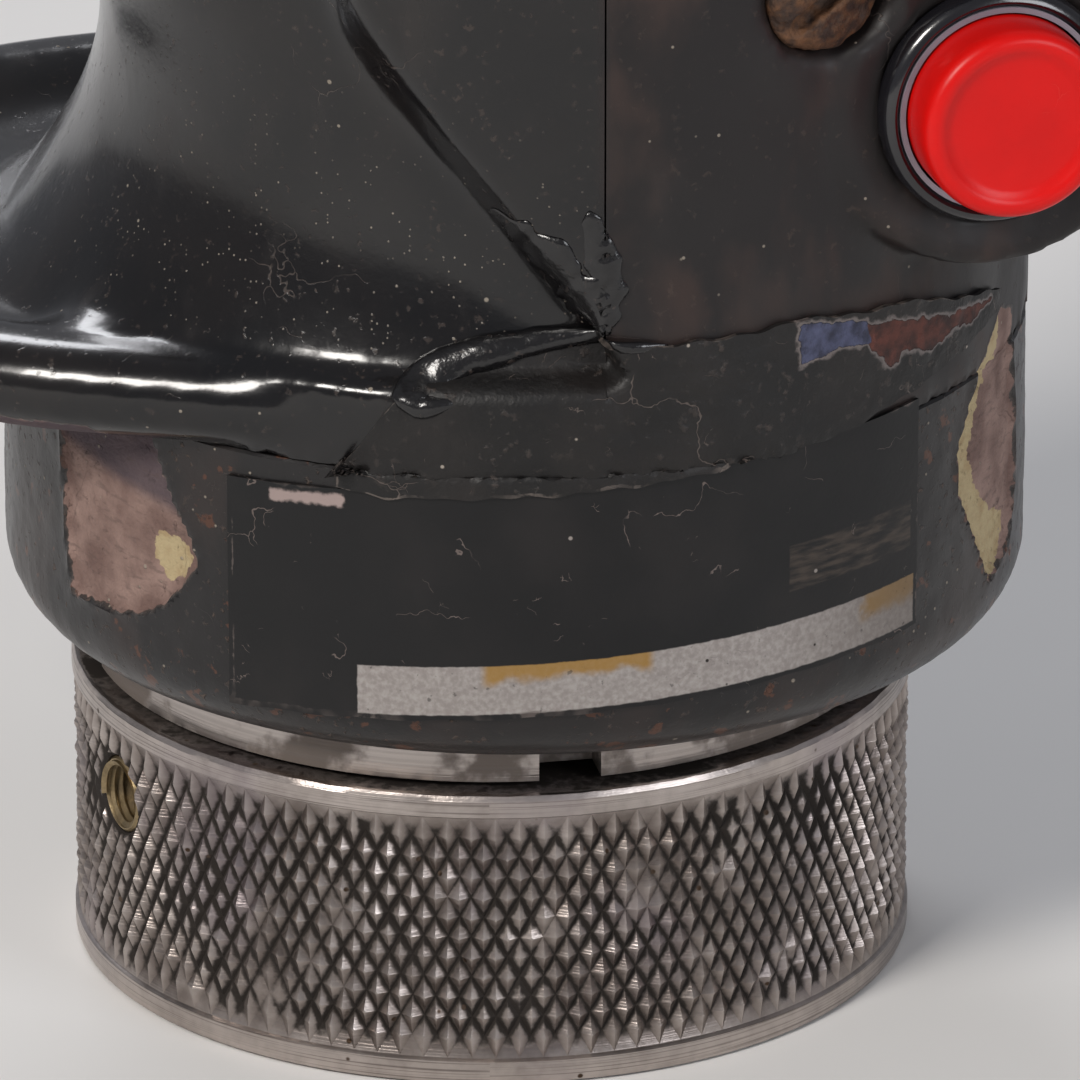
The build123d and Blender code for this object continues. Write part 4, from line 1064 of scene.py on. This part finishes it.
@dataclass
class BaseDrum:
    """The black casting over the ring, with its data plate and the torn film round its top."""

    steps: int = 520
    pitch: float = 0.36
    bore: float = 25.8
    hub: float = 16.05
    register: float = 24.0
    bottom_round: float = 4.0
    left_chip: tuple[Pair, ...] = (
        (-30.7, 39.5),
        (-30.3, 34.0),
        (-29.9, 29.4),
        (-29.3, 26.2),
        (-27.4, 26.6),
        (-25.7, 26.5),
        (-23.8, 26.9),
        (-22.4, 27.3),
        (-21.0, 28.2),
        (-19.9, 29.4),
        (-18.7, 30.9),
        (-19.0, 32.3),
        (-20.4, 34.4),
        (-21.3, 36.3),
        (-22.6, 39.5),
    )
    left_cream: tuple[Pair, ...] = (
        (-21.5, 32.4),
        (-22.1, 31.6),
        (-21.9, 30.5),
        (-21.0, 29.4),
        (-19.9, 29.9),
        (-19.1, 31.3),
        (-20.0, 32.2),
    )
    right_chip: tuple[Pair, ...] = (
        (34.8, 41.4),
        (36.9, 40.6),
        (38.0, 35.0),
        (38.6, 29.8),
        (37.3, 26.3),
        (33.7, 25.4),
        (32.6, 27.2),
        (29.7, 31.8),
        (29.4, 34.6),
        (31.0, 37.3),
        (32.9, 39.6),
    )
    right_cream: tuple[Pair, ...] = (
        (34.6, 41.4),
        (32.9, 39.6),
        (31.0, 37.3),
        (29.4, 34.6),
        (29.7, 31.8),
        (32.6, 27.2),
        (33.7, 25.4),
        (36.4, 26.2),
        (37.0, 28.4),
        (34.6, 29.4),
        (32.5, 31.2),
        (31.2, 34.0),
        (32.5, 36.8),
        (34.4, 39.4),
    )
    blue_tear: tuple[Pair, ...] = ((16.1, 46.0), (20.7, 45.1), (21.0, 43.7), (18.9, 43.9), (16.2, 43.5))
    brown_tear: tuple[Pair, ...] = (
        (20.4, 45.0),
        (23.7, 44.4),
        (27.3, 43.6),
        (32.4, 42.9),
        (30.0, 42.3),
        (27.9, 42.5),
        (25.9, 41.9),
        (23.7, 42.5),
        (22.5, 41.8),
        (21.0, 43.3),
    )

    def chips(self, places: np.ndarray) -> dict[str, np.ndarray]:
        """The chips' fields at each place: 1 and more is inside a chip, or on its bare patch; 'shade' is painted shadow
        under the lip.
        """
        around, height = drum_place(places)
        left = depth_inside(around, height, self.left_chip)
        right = depth_inside(around, height, self.right_chip)
        cream = np.maximum(
            depth_inside(around, height, self.left_cream), depth_inside(around, height, self.right_cream)
        )
        chip = np.maximum(left, right)
        # Painted shadow: marks the upper part of the left chip, which the palm rest's lip overhangs, to be drawn
        # darker.
        shade = step(height + 0.15 * around, 30.2, 31.2) * (left > 0)
        return {"chip": np.clip(1 + chip, 0, 3), "bare": np.clip(1 + cream, 0, 3), "shade": shade}

    def build_drum(self, shop: Workshop) -> None:
        """Builds the casting with its paint chips sunk in it."""
        shape = Shape()
        rows = round((BASE_TOP - BASE_LOW - self.bottom_round) / self.pitch)
        wall = [
            (BASE_RADIUS, BASE_LOW + self.bottom_round + n * (BASE_TOP - 0.15 - BASE_LOW - self.bottom_round) / rows)
            for n in range(rows + 1)
        ]
        turns = [math.radians(each) for each in range(0, 90, 6)]
        corner = BASE_RADIUS - self.bottom_round
        curve = [
            (corner + self.bottom_round * math.sin(turn), BASE_LOW + self.bottom_round * (1 - math.cos(turn)))
            for turn in turns
        ]
        rim, low = BASE_TOP + 2.4, BASE_TOP - 3.2
        lip = [(BASE_RADIUS - 0.15, BASE_TOP), (self.bore, BASE_TOP), (self.bore, rim)]
        inside = [(self.register, rim), (self.register, low), (self.bore, low)]
        floor = [(self.bore, BASE_LOW + 4.0), (self.hub, BASE_LOW + 4.0), (self.hub, BASE_LOW)]
        shape.lathe([*curve, *wall, *lip, *inside, *floor], self.steps)
        places = shape.places()
        radii = np.hypot(places[:, 0], places[:, 1])
        hub = radii < 17.0
        places[:, 0] += BASE_OFFSET
        places[hub, 0] -= BASE_OFFSET
        fields = self.chips(places)
        skin = radii > 27.0
        rough = 0.06 * soft_noise(places, 3.5) + 0.045 * soft_noise(places, 0.9, 4.0)
        sunk = 0.28 * step(fields["chip"], 0.95, 1.2) + 0.12 * step(fields["bare"], 0.95, 1.2)
        lift = 0.1 * step(fields["chip"], 0.55, 0.95) * (1 - step(fields["chip"], 0.95, 1.1))
        change = np.where(skin, rough - sunk + lift - 0.06, 0.0)
        scale = change / np.maximum(radii, 1.0)
        places[:, 0] += (places[:, 0] - BASE_OFFSET) * scale
        places[:, 1] += places[:, 1] * scale
        shape.move(places)
        mesh = shape.mesh("base_drum_painted")
        for name, values in fields.items():
            paint(mesh, name, values)
        paint(mesh, "matt", np.full(len(values), 0.35))
        show("base_drum_painted", mesh, shop, ["base_housing"])

    def sheet(
        self,
        span: Pair,
        low: Callable[[np.ndarray], np.ndarray],
        high: Callable[[np.ndarray], np.ndarray],
        cells: tuple[int, int],
        relief: Callable[[np.ndarray], np.ndarray],
        under: "Ground | None" = None,
    ) -> tuple[Shape, np.ndarray, np.ndarray]:
        """Lays a thin sheet on the drum.

        Args:
            span: Where it starts and ends round the drum.
            low: Its lower edge's height, from the distance round.
            high: Its upper edge's height.
            cells: How many cells it has each way.
            relief: Its height over the drum at flat places.
            under: What it lies on, the plain drum by default.

        Returns:
            The sheet, how near each point is to its edge from 0 to 1, and its flat places.
        """
        shape = Shape()
        bmesh.ops.create_grid(shape.bm, x_segments=cells[0], y_segments=cells[1], size=0.5)
        flat = shape.places() + 0.5
        around = span[0] + flat[:, 0] * (span[1] - span[0])
        height = low(around) + flat[:, 1] * (high(around) - low(around))
        margin = np.minimum(np.minimum(flat[:, 1], 1 - flat[:, 1]) * 9, np.minimum(flat[:, 0], 1 - flat[:, 0]) * 30)
        edge = 1 - np.clip(margin, 0, 1)
        places = np.stack((around, height, np.zeros(len(around))), axis=1)
        places[:, 2] = relief(places)
        shape.move(under.lay(places) if under else wrap(places, BASE_RADIUS))
        bmesh.ops.recalc_face_normals(shape.bm, faces=shape.bm.faces)
        return shape, edge, places

    def build_label(self, shop: Workshop) -> None:
        """Builds the blank data plate."""
        shape, edge, _ = self.sheet(
            (-16.4, 25.2),
            lambda u: 24.45 + LABEL_TILT * u + 0.05 * np.sin(u * 1.3),
            lambda u: 37.85 + LABEL_TILT * u,
            (130, 44),
            lambda p: -0.01 + 0.025 * soft_noise(p, 5.0) + 0.012 * soft_noise(p, 1.2, 3.0),
        )
        bmesh.ops.solidify(shape.bm, geom=shape.bm.faces[:], thickness=0.18)
        mesh = shape.mesh("data_label_blank")
        paint(mesh, "edge", np.resize(edge, len(mesh.vertices)))
        show("data_label_blank", mesh, shop, ["data_label"])

    def film_low(self, around: np.ndarray) -> np.ndarray:
        """The film's lower edge."""
        heights = np.interp(
            around, (-9.8, -7.0, 2.5, 10.3, 18.4, 24.0, 33.5), (37.5, 37.2, 37.6, 38.1, 38.8, 39.9, 41.9)
        )
        return heights + 0.12 * np.sin(around * 2.1) * np.sin(around * 0.7)

    def film_high(self, around: np.ndarray) -> np.ndarray:
        """The film's upper edge."""
        heights = np.interp(
            around,
            (-9.8, -8.6, -7.2, -5.8, -4.2, -0.8, 4.7, 9.1, 15.7, 23.5, 33.5),
            (38.3, 39.8, 41.6, 43.4, 44.7, 45.6, 46.0, 45.8, 46.1, 45.4, 43.0),
        )
        return heights + 0.15 * np.sin(around * 1.7 + 0.6) * np.cos(around * 0.9)

    def build_film(self, shop: Workshop, under: "Ground") -> None:
        """Builds the black film and the old paint that shows where it tore."""
        shape, edge, flat = self.sheet(
            (-9.8, 33.5),
            self.film_low,
            self.film_high,
            (210, 50),
            lambda p: 0.15 + 0.07 * soft_noise(p, 2.6, 1.0) + 0.05 * soft_noise(p, 0.8, 6.0),
            under,
        )
        bmesh.ops.solidify(shape.bm, geom=shape.bm.faces[:], thickness=0.3)
        mesh = shape.mesh("film_torn")
        blue = 1 + depth_inside(flat[:, 0], flat[:, 1], self.blue_tear)
        brown = 1 + depth_inside(flat[:, 0], flat[:, 1], self.brown_tear)
        for name, values in (("edge", edge), ("blue", blue), ("brown", brown)):
            paint(mesh, name, np.resize(np.clip(values, 0, 2), len(mesh.vertices)))
        show("film_torn", mesh, shop, [], "black_moulding", "grip", TapeFilm().build("tape_film"))

    def build(self, shop: Workshop) -> None:
        """Builds the drum and its plate."""
        self.build_drum(shop)
        self.build_label(shop)


class Ground:
    """The dressed surfaces that thin things are laid on."""

    def __init__(self, names: Sequence[str]) -> None:
        """Collects the named pieces' meshes in one tree for rays."""
        joined = bmesh.new()
        for name in names:
            joined.from_mesh(bpy.data.objects[name].data)
        self.tree = BVHTree.FromBMesh(joined)
        joined.free()

    def lay(self, places: np.ndarray) -> np.ndarray:
        """Lays flat places on the surface.

        Args:
            places: X is the distance round the drum, Y the height and Z the height over the surface.

        Returns:
            The places on the object.
        """
        laid = []
        for around, height, out in places:
            turn = around / BASE_RADIUS
            outward = Vector((math.sin(turn), -math.cos(turn), 0.0))
            start = Vector((BASE_OFFSET, 0.0, height)) + outward * (BASE_RADIUS + 6.0)
            hit, _, _, _ = self.tree.ray_cast(start * MM, -outward)
            base = hit / MM if hit else start - outward * 6.0
            laid.append(base + outward * out)
        return np.array(laid)


@dataclass(frozen=True)
class Bead:
    """A run of hard sealant: its path round the drum, and its radius from start to end."""

    name: str
    path: tuple[Pair, ...]
    radii: tuple[float, ...]
    flat: float = 0.22
    rest: float = 0.05
    lumps: float = 0.7

    def build(self, shop: Workshop, under: Ground, material: bpy.types.Material) -> None:
        """Builds the run as a flattened tube that is half sunk in the surface."""
        lengths = [0.0]
        for (u0, z0), (u1, z1) in zip(self.path, self.path[1:]):
            lengths.append(lengths[-1] + math.hypot(u1 - u0, z1 - z0))
        steps = max(8, round(lengths[-1] / 0.2))
        shape = Shape()
        bmesh.ops.create_grid(shape.bm, x_segments=steps, y_segments=14, size=0.5)
        flat = shape.places() + 0.5
        along = flat[:, 0] * lengths[-1]
        knots = np.array(self.path)
        u = np.interp(along, lengths, knots[:, 0])
        z = np.interp(along, lengths, knots[:, 1])
        ahead = np.interp(along + 0.3, lengths, knots[:, 0]) - np.interp(along - 0.3, lengths, knots[:, 0])
        rise = np.interp(along + 0.3, lengths, knots[:, 1]) - np.interp(along - 0.3, lengths, knots[:, 1])
        size = np.maximum(np.hypot(ahead, rise), 1e-6)
        share = np.linspace(0.0, 1.0, len(self.radii))
        radius = np.interp(flat[:, 0], share, self.radii) * np.sqrt(np.clip(np.sin(flat[:, 0] * math.pi) * 4, 0.02, 1))
        lumpy = np.stack((u, z, np.zeros(len(u))), axis=1)
        radius = radius * (1 + self.lumps * soft_noise(lumpy, 0.9, 7.0))
        turn = flat[:, 1] * math.tau
        places = np.stack((u - rise / size * radius * np.cos(turn), z + ahead / size * radius * np.cos(turn), u * 0), axis=1)
        places[:, 2] = self.rest + radius * self.flat * np.sin(turn)
        shape.move(under.lay(places))
        bmesh.ops.remove_doubles(shape.bm, verts=shape.bm.verts, dist=0.01)
        bmesh.ops.holes_fill(shape.bm, edges=shape.bm.edges, sides=40)
        show(self.name, shape.mesh(self.name, 80.0), shop, [], "black_moulding", "grip", material)


SEALANT_RUNS = (
    Bead(
        "sealant_beak",
        ((8.4, 45.9), (4.7, 45.9), (1.5, 45.6), (-2.3, 44.9), (-4.8, 44.1), (-5.9, 43.2), (-5.0, 42.6), (-2.9, 43.0)),
        (0.25, 0.4, 0.55, 0.75, 0.95, 0.9, 0.75, 0.45),
        0.8,
        0.3,
        0.12,
    ),
    Bead("sealant_run", ((5.2, 46.6), (4.0, 48.6), (2.4, 50.6), (0.6, 52.0), (-1.4, 53.2)), (0.7, 1.2, 1.1, 0.9, 0.5)),
    Bead("sealant_seam", ((5.3, 47.0), (5.2, 49.4), (4.7, 51.6), (4.1, 53.8)), (0.5, 0.9, 0.8, 0.4)),
)


@dataclass
class HandShells:
    """The two moulded shells with the palm rest, the tower and the button's pod."""

    voxel: float = 0.56
    seam_gap: float = 0.1
    rest_centre: Pair = (-16.4, 3.9)
    lip_width: float = 6.6
    drum: BaseDrum = None

    def joined(self, shop: Workshop) -> Shape:
        """Both shells as one closed form, merged and voxel-remeshed."""
        both = bmesh.new()
        for name in ("right_shell", "left_shell"):
            both.from_mesh(shop.nodes[name].data)
        bmesh.ops.remove_doubles(both, verts=both.verts, dist=0.000002)
        mesh = bpy.data.meshes.new("both")
        both.to_mesh(mesh)
        both.free()
        remeshed = Evaluator.apply(mesh, ("REMESH", {"mode": "VOXEL", "voxel_size": self.voxel * MM, "adaptivity": 0.0}))
        shape = Shape()
        shape.bm.from_mesh(remeshed)
        bmesh.ops.scale(shape.bm, vec=(1 / MM,) * 3, verts=shape.bm.verts)
        return shape

    def rim_depth(self, places: np.ndarray) -> np.ndarray:
        """How far each place is inside the palm rest's outline, seen from above."""
        start = np.array((BASE_OFFSET, 0.0))
        run = np.array(self.rest_centre) - start
        offset = places[:, :2] - start
        share = np.clip(offset @ run / (run @ run), 0.0, 1.0)
        nearest = offset - share[:, None] * run
        return BASE_RADIUS - 0.4 * share - np.hypot(nearest[:, 0], nearest[:, 1])

    def soften(self, shape: Shape) -> None:
        """Melts the forms into each other as a casting's hand-finished fillets do."""
        places = shape.places()
        depth = self.rim_depth(places)
        x, y, z = places.T
        out = np.hypot(x - 1.0, y)
        dish = (depth > 4.4) & (z > REST_TOP - 2.8) & (z < REST_TOP + 18) & (x < SEAM_X - 1.5) & (out > 20.5)
        crease = (x < SEAM_X - 0.4) & (z > REST_TOP + 1.0) & (z < 92.0) & (out > 20.5)
        shoulder = (z > 66.0) & (z < 92.0) & (out > 20.0)
        verts = list(shape.bm.verts)
        for chosen, rounds in ((z > BASE_TOP + 0.2, 3), (dish, 55), (crease, 60), (shoulder, 25)):
            group = [verts[n] for n in np.flatnonzero(chosen)]
            for _ in range(rounds):
                bmesh.ops.smooth_vert(
                    shape.bm, verts=group, factor=0.5, use_axis_x=True, use_axis_y=True, use_axis_z=True
                )

    def dress(self, mesh: bpy.types.Mesh) -> None:
        """Paints the fields that the worn black finish reads."""
        places = mesh_places(mesh)
        low = places[:, 2] < REST_TOP
        for name, values in self.drum.chips(places).items():
            paint(mesh, name, np.where(low, values, 0.0))
        x, y, z = places.T
        matt = step(x, SEAM_X - 0.5, SEAM_X + 0.5) * step(-z, -74.0, -70.0)
        facets = 0.25 * step(soft_noise(places, 6.0, 3.0), 0.0, 0.4)
        paint(mesh, "matt", np.clip(matt - facets * matt, 0, 1))
        # The band of the dish where its highlight falls, for specks that are partly dust and partly painted glints.
        flare = step(z, REST_TOP, REST_TOP + 2.0) * step(-z, -62.0, -50.0) * step(-y, 6.0, 18.0) * (x < SEAM_X - 1)
        paint(mesh, "dust_and_glints", flare)

    def build(self, shop: Workshop) -> None:
        """Builds both shells, parted at the seam."""
        whole = self.joined(shop)
        self.soften(whole)
        places = whole.places()
        waves = 0.07 * soft_noise(places, 5.0, 2.0) * (places[:, 2] > REST_TOP)
        normals = np.array([vert.normal for vert in whole.bm.verts])
        whole.move(places + normals * waves[:, None])
        for side, node in ((-1, "right_shell"), (1, "left_shell")):
            half = Shape()
            half.bm = whole.bm.copy()
            cut_x = SEAM_X + side * self.seam_gap / 2
            cut = bmesh.ops.bisect_plane(
                half.bm,
                geom=half.bm.verts[:] + half.bm.edges[:] + half.bm.faces[:],
                plane_co=(cut_x, 0.0, 0.0),
                plane_no=(side, 0.0, 0.0),
                clear_inner=True,
            )
            rim = [item for item in cut["geom_cut"] if isinstance(item, bmesh.types.BMEdge)]
            bmesh.ops.edgenet_fill(half.bm, edges=rim)
            mesh = half.mesh(f"{node}_moulded")
            self.dress(mesh)
            show(f"{node}_moulded", mesh, shop, [node])
        whole.bm.free()
        under = Ground(("base_drum_painted", "right_shell_moulded", "left_shell_moulded"))
        self.drum.build_film(shop, under)
        sealant = Sealant().build("sealant_black")
        for bead in SEALANT_RUNS:
            bead.build(shop, under, sealant)


@dataclass
class PodButton:
    """The red push button in its glossy bezel."""

    centre: Triple = (27.5725, -21.0082, 57.2)
    turn: float = 16.0
    step_depth: float = 0.35

    def frame(self) -> Matrix:
        """The button's frame: its Z axis points out of the pod."""
        turn = math.radians(self.turn)
        out = Vector((math.sin(turn), -math.cos(turn), 0.0))
        side = Vector((math.cos(turn), math.sin(turn), 0.0))
        up = out.cross(side)
        axes = Matrix((side, up, out)).transposed().to_4x4()
        return Matrix.Translation(Vector(self.centre) - out * self.step_depth) @ axes

    def build(self, shop: Workshop) -> None:
        """Builds the bezel and the cap."""
        bezel = Shape()
        ring = [
            (5.83, -9.5),
            (6.3, -9.5),
            (6.3, 0.0),
            (6.72, 0.0),
            (6.72, 0.55),
            (6.6, 0.95),
            (6.35, 1.22),
            (6.1, 1.3),
            (5.95, 1.24),
            (5.83, 1.05),
        ]
        bezel.lathe(ring, 128, True, self.frame())
        show("lower_bezel_turned", bezel.mesh("lower_bezel_turned"), shop, ["lower_bezel"])
        cap = Shape()
        crown = [
            (0.0, 3.98),
            (2.6, 3.97),
            (3.6, 3.99),
            (3.95, 4.07),
            (4.2, 4.25),
            (4.45, 4.37),
            (4.7, 4.38),
            (4.98, 4.3),
            (5.2, 4.08),
            (5.31, 3.75),
            (5.34, 3.3),
            (5.34, 0.5),
            (5.34, -3.4),
            (1.4, -3.4),
            (1.4, -7.2),
            (0.0, -7.2),
        ]
        cap.lathe(crown, 128, False, self.frame())
        show("lower_button_cap", cap.mesh("lower_button_cap", 50.0), shop, ["lower_button"])


@dataclass
class RoughScrews:
    """The rusted slotted screws that hold the shells."""

    bearings: tuple[float, ...] = (-52.0, 0.0, 180.0, 180.0)
    heights: tuple[float, ...] = (64.7, 120.5, 64.5, 100.5)
    tips: tuple[float, ...] = (30.812, 23.807, 23.874, 17.929)
    head: float = 3.78
    head_height: float = 2.4
    shank: float = 1.98
    shank_start: float = 8.2
    slot: float = 0.55
    slot_depth: float = 1.15
    slot_turn: float = 35.0

    def screw(self, bearing: float, height: float, tip: float) -> Shape:
        """One screw with a domed, slotted and eaten head."""
        shape = Shape()
        seat = tip - self.head_height
        dome = [(0.0, tip - 0.02), (0.6, tip - 0.03), (1.2, tip - 0.08), (1.8, tip - 0.18), (2.4, tip - 0.33)]
        side = [(2.9, tip - 0.5), (3.3, tip - 0.75), (3.6, tip - 1.05), (self.head, tip - 1.5), (self.head, seat + 0.1)]
        shank = [(self.shank, seat + 0.1), (self.shank, self.shank_start), (0.0, self.shank_start)]
        turned = Matrix.Translation((0, 0, height)) @ Matrix.Rotation(math.radians(bearing), 4, "Z")
        frame = turned @ Matrix.Rotation(math.pi / 2, 4, "Y")
        shape.lathe([*dome, *side, *shank], 72, False, frame)
        groove = bmesh.new()
        bmesh.ops.create_cube(groove, size=1.0)
        bmesh.ops.scale(groove, vec=(2 * self.slot, 4 * self.head, 2 * self.slot_depth), verts=groove.verts)
        spin = Matrix.Rotation(math.radians(self.slot_turn), 4, "Z")
        place = frame @ Matrix.Translation((0, 0, tip)) @ spin
        bmesh.ops.transform(groove, matrix=Matrix.Scale(MM, 4) @ place, verts=groove.verts)
        cutter = bpy.data.meshes.new("groove")
        groove.to_mesh(cutter)
        groove.free()
        cut = Evaluator.cut(shape.mesh("screw"), cutter)
        fine = Evaluator.apply(cut, ("REMESH", {"mode": "VOXEL", "voxel_size": 0.00017, "adaptivity": 0.0}))
        rough = Shape()
        rough.bm.from_mesh(fine)
        bmesh.ops.scale(rough.bm, vec=(1 / MM,) * 3, verts=rough.bm.verts)
        for _ in range(4):
            bmesh.ops.smooth_vert(
                rough.bm, verts=rough.bm.verts, factor=0.5, use_axis_x=True, use_axis_y=True, use_axis_z=True
            )
        return rough

    def build(self, shop: Workshop) -> None:
        """Builds the four screws as one piece."""
        joined = Shape()
        for bearing, height, tip in zip(self.bearings, self.heights, self.tips):
            rough = self.screw(bearing, height, tip)
            places = rough.places()
            rough.bm.normal_update()
            normals = np.array([vert.normal for vert in rough.bm.verts])
            eaten = 0.14 * soft_noise(places, 1.1, 3.0) + 0.09 * soft_noise(places, 0.45, 5.0) - 0.05
            eaten = np.minimum(eaten, 0.02)
            rough.move(places + normals * eaten[:, None])
            part = rough.mesh("part")
            joined.bm.from_mesh(part)
        bmesh.ops.scale(joined.bm, vec=(1 / MM,) * 3, verts=joined.bm.verts)
        show("shell_screws_rusted", joined.mesh("shell_screws_rusted", 70.0), shop, ["shell_screws"])


@dataclass
class ReturnSprings:
    """The coil springs, each listed with the press that it pushes on, that press's axis and its travel."""

    springs: tuple[tuple[str, str, Triple, float], ...] = (
        ("lower_spring", "lower_button_press", (-0.275637, 0.961262, 0.0), 2.0),
        ("release_spring", "release_button_press", (0.0, -0.621882, -0.783111), 1.5),
        ("side_spring", "side_button_press", (-1.0, 0.0, 0.0), 1.5),
        ("trigger_spring", "trigger_pull", (0.0, 1.0, 0.0), 1.95),
    )

    def build(self, shop: Workshop) -> None:
        """Builds each spring with one seamless skin."""
        for node, joint, axis, travel in self.springs:
            coil = Shape()
            coil.bm.from_mesh(shop.nodes[node].data)
            bmesh.ops.remove_doubles(coil.bm, verts=coil.bm.verts, dist=0.000002)
            bmesh.ops.scale(coil.bm, vec=(1 / MM,) * 3, verts=coil.bm.verts)
            piece = show(f"{node}_coil", coil.mesh(f"{node}_coil", 50.0), shop, [node])
            places = mesh_places(piece.data)
            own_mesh(piece)


@dataclass
class SoftEdges:
    """Breaks the sharp edges of the CAD nodes that are shown as they are."""

    widths: tuple[tuple[str, float], ...] = (
        ("spigot_flange", 0.15),
        ("head_housing", 0.3),
        ("head_cover", 0.12),
        ("cover_screws", 0.1),
        ("neck_gasket", 0.1),
        ("release_bezel", 0.25),
        ("release_button", 0.12),
        ("side_bezel", 0.2),
        ("side_button", 0.12),
        ("trigger", 0.5),
        ("trim_cup", 0.25),
        ("trim_hat", 0.2),
        ("trigger_pin", 0.1),
        ("connector_insert", 0.08),
        ("connector_shell", 0.12),
        ("connector_pins", 0.15),
        ("retaining_clip", 0.08),
    )

    def build(self, shop: Workshop) -> None:
        """Gives each node a weld and a narrow bevel."""
        for name, width in self.widths:
            node = shop.nodes[name]
            weld = node.modifiers.new("weld", "WELD")
            weld.merge_threshold = 0.001 * MM
            bevel = node.modifiers.new("edge", "BEVEL")
            bevel.width = width * MM
            bevel.segments = 2
            bevel.limit_method = "ANGLE"
            bevel.angle_limit = math.radians(35.0)
            bevel.harden_normals = False
            log.info("%s edges broken by %.2f mm", name, width)


class Stage:
    """The floor, the lamps and the camera."""

    focal: float = 377.0
    sensor: float = 36.0
    elevation: float = 22.0
    target: Triple = (2.8, 0.0, 23.2)
    distance: float = 645.0

    def build(self) -> None:
        """Sets up everything round the object."""
        self.floor()
        self.lamps()
        self.camera()
        scene = bpy.context.scene
        scene.view_settings.view_transform = "Standard"

    def floor(self) -> None:
        """A plain pale floor that the ring stands on."""
        bm = bmesh.new()
        bmesh.ops.create_grid(bm, x_segments=1, y_segments=1, size=4.0)
        mesh = bpy.data.meshes.new("studio_floor")
        bm.to_mesh(mesh)
        bm.free()
        floor = bpy.data.objects.new("studio_floor", mesh)
        bpy.context.scene.collection.objects.link(floor)
        graph = Graph("floor_pale")
        shade = graph.blend(graph.noise(60.0, 3.0).rise(0.3, 0.7), (0.78, 0.77, 0.755), (0.75, 0.74, 0.725))
        mesh.materials.append(graph.close(shade, 0.75))

    @staticmethod
    def lamp(name: str, place: Triple, aim: Triple, size: Pair, power: float, colour: Triple) -> None:
        """Adds a soft lamp.

        Args:
            name: Its name.
            place: Where it hangs, in metres.
            aim: What it points at, in metres.
            size: Its width and height, in metres.
            power: Its power in watts.
            colour: Its colour.
        """
        data = bpy.data.lights.new(name, "AREA")
        data.shape = "RECTANGLE"
        data.size, data.size_y = size
        data.energy = power
        data.color = colour
        lamp = bpy.data.objects.new(name, data)
        direction = Vector(aim) - Vector(place)
        lamp.matrix_world = Matrix.Translation(place) @ direction.to_track_quat("-Z", "Y").to_matrix().to_4x4()
        bpy.context.scene.collection.objects.link(lamp)

    def lamps(self) -> None:
        """Hangs the lamps and sets the world."""
        middle = (0.0, 0.0, 0.05)
        self.lamp("key_lamp", (-0.55, -0.75, 0.75), middle, (0.3, 0.3), 10.0, (1.0, 0.96, 0.91))
        self.lamp("fill_lamp", (0.8, -0.7, 0.45), middle, (0.45, 0.35), 3.5, (0.93, 0.95, 1.0))
        self.lamp("back_lamp", (-0.3, 0.9, 0.8), middle, (0.5, 0.3), 4.0, (0.95, 0.96, 1.0))
        world = bpy.data.worlds.new("studio_world")
        world.use_nodes = True
        background = world.node_tree.nodes["Background"]
        background.inputs["Color"].default_value = (0.9, 0.92, 1.0, 1.0)
        background.inputs["Strength"].default_value = 0.25
        bpy.context.scene.world = world

    def camera(self) -> None:
        """Sets the camera at the photograph's angle."""
        data = bpy.data.cameras.new("photo_camera")
        data.lens = self.focal
        data.sensor_width = self.sensor
        data.clip_start = 0.01
        data.clip_end = 20.0
        camera = bpy.data.objects.new("photo_camera", data)
        tilt = math.radians(self.elevation)
        view = Vector((0.0, math.cos(tilt), -math.sin(tilt)))
        camera.location = (Vector(self.target) - view * self.distance) * MM
        camera.rotation_euler = view.to_track_quat("-Z", "Y").to_euler()
        bpy.context.scene.collection.objects.link(camera)
        bpy.context.scene.camera = camera


def main() -> None:
    """Builds every sub-assembly round the frame."""
    logging.basicConfig(level=logging.INFO, format="%(name)s %(message)s")
    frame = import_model()
    Stage().build()
    shop = Workshop(frame)
    shop.dress_nodes()
    drum = BaseDrum()
    parts = (
        CouplingRing(),
        drum,
        HandShells(drum=drum),
        PodButton(),
        RoughScrews(),
        ReturnSprings(),
        SoftEdges(),
    )
    for part in parts:
        part.build(shop)
        log.info("%s done", type(part).__name__)


if __name__ == "__main__":
    main()
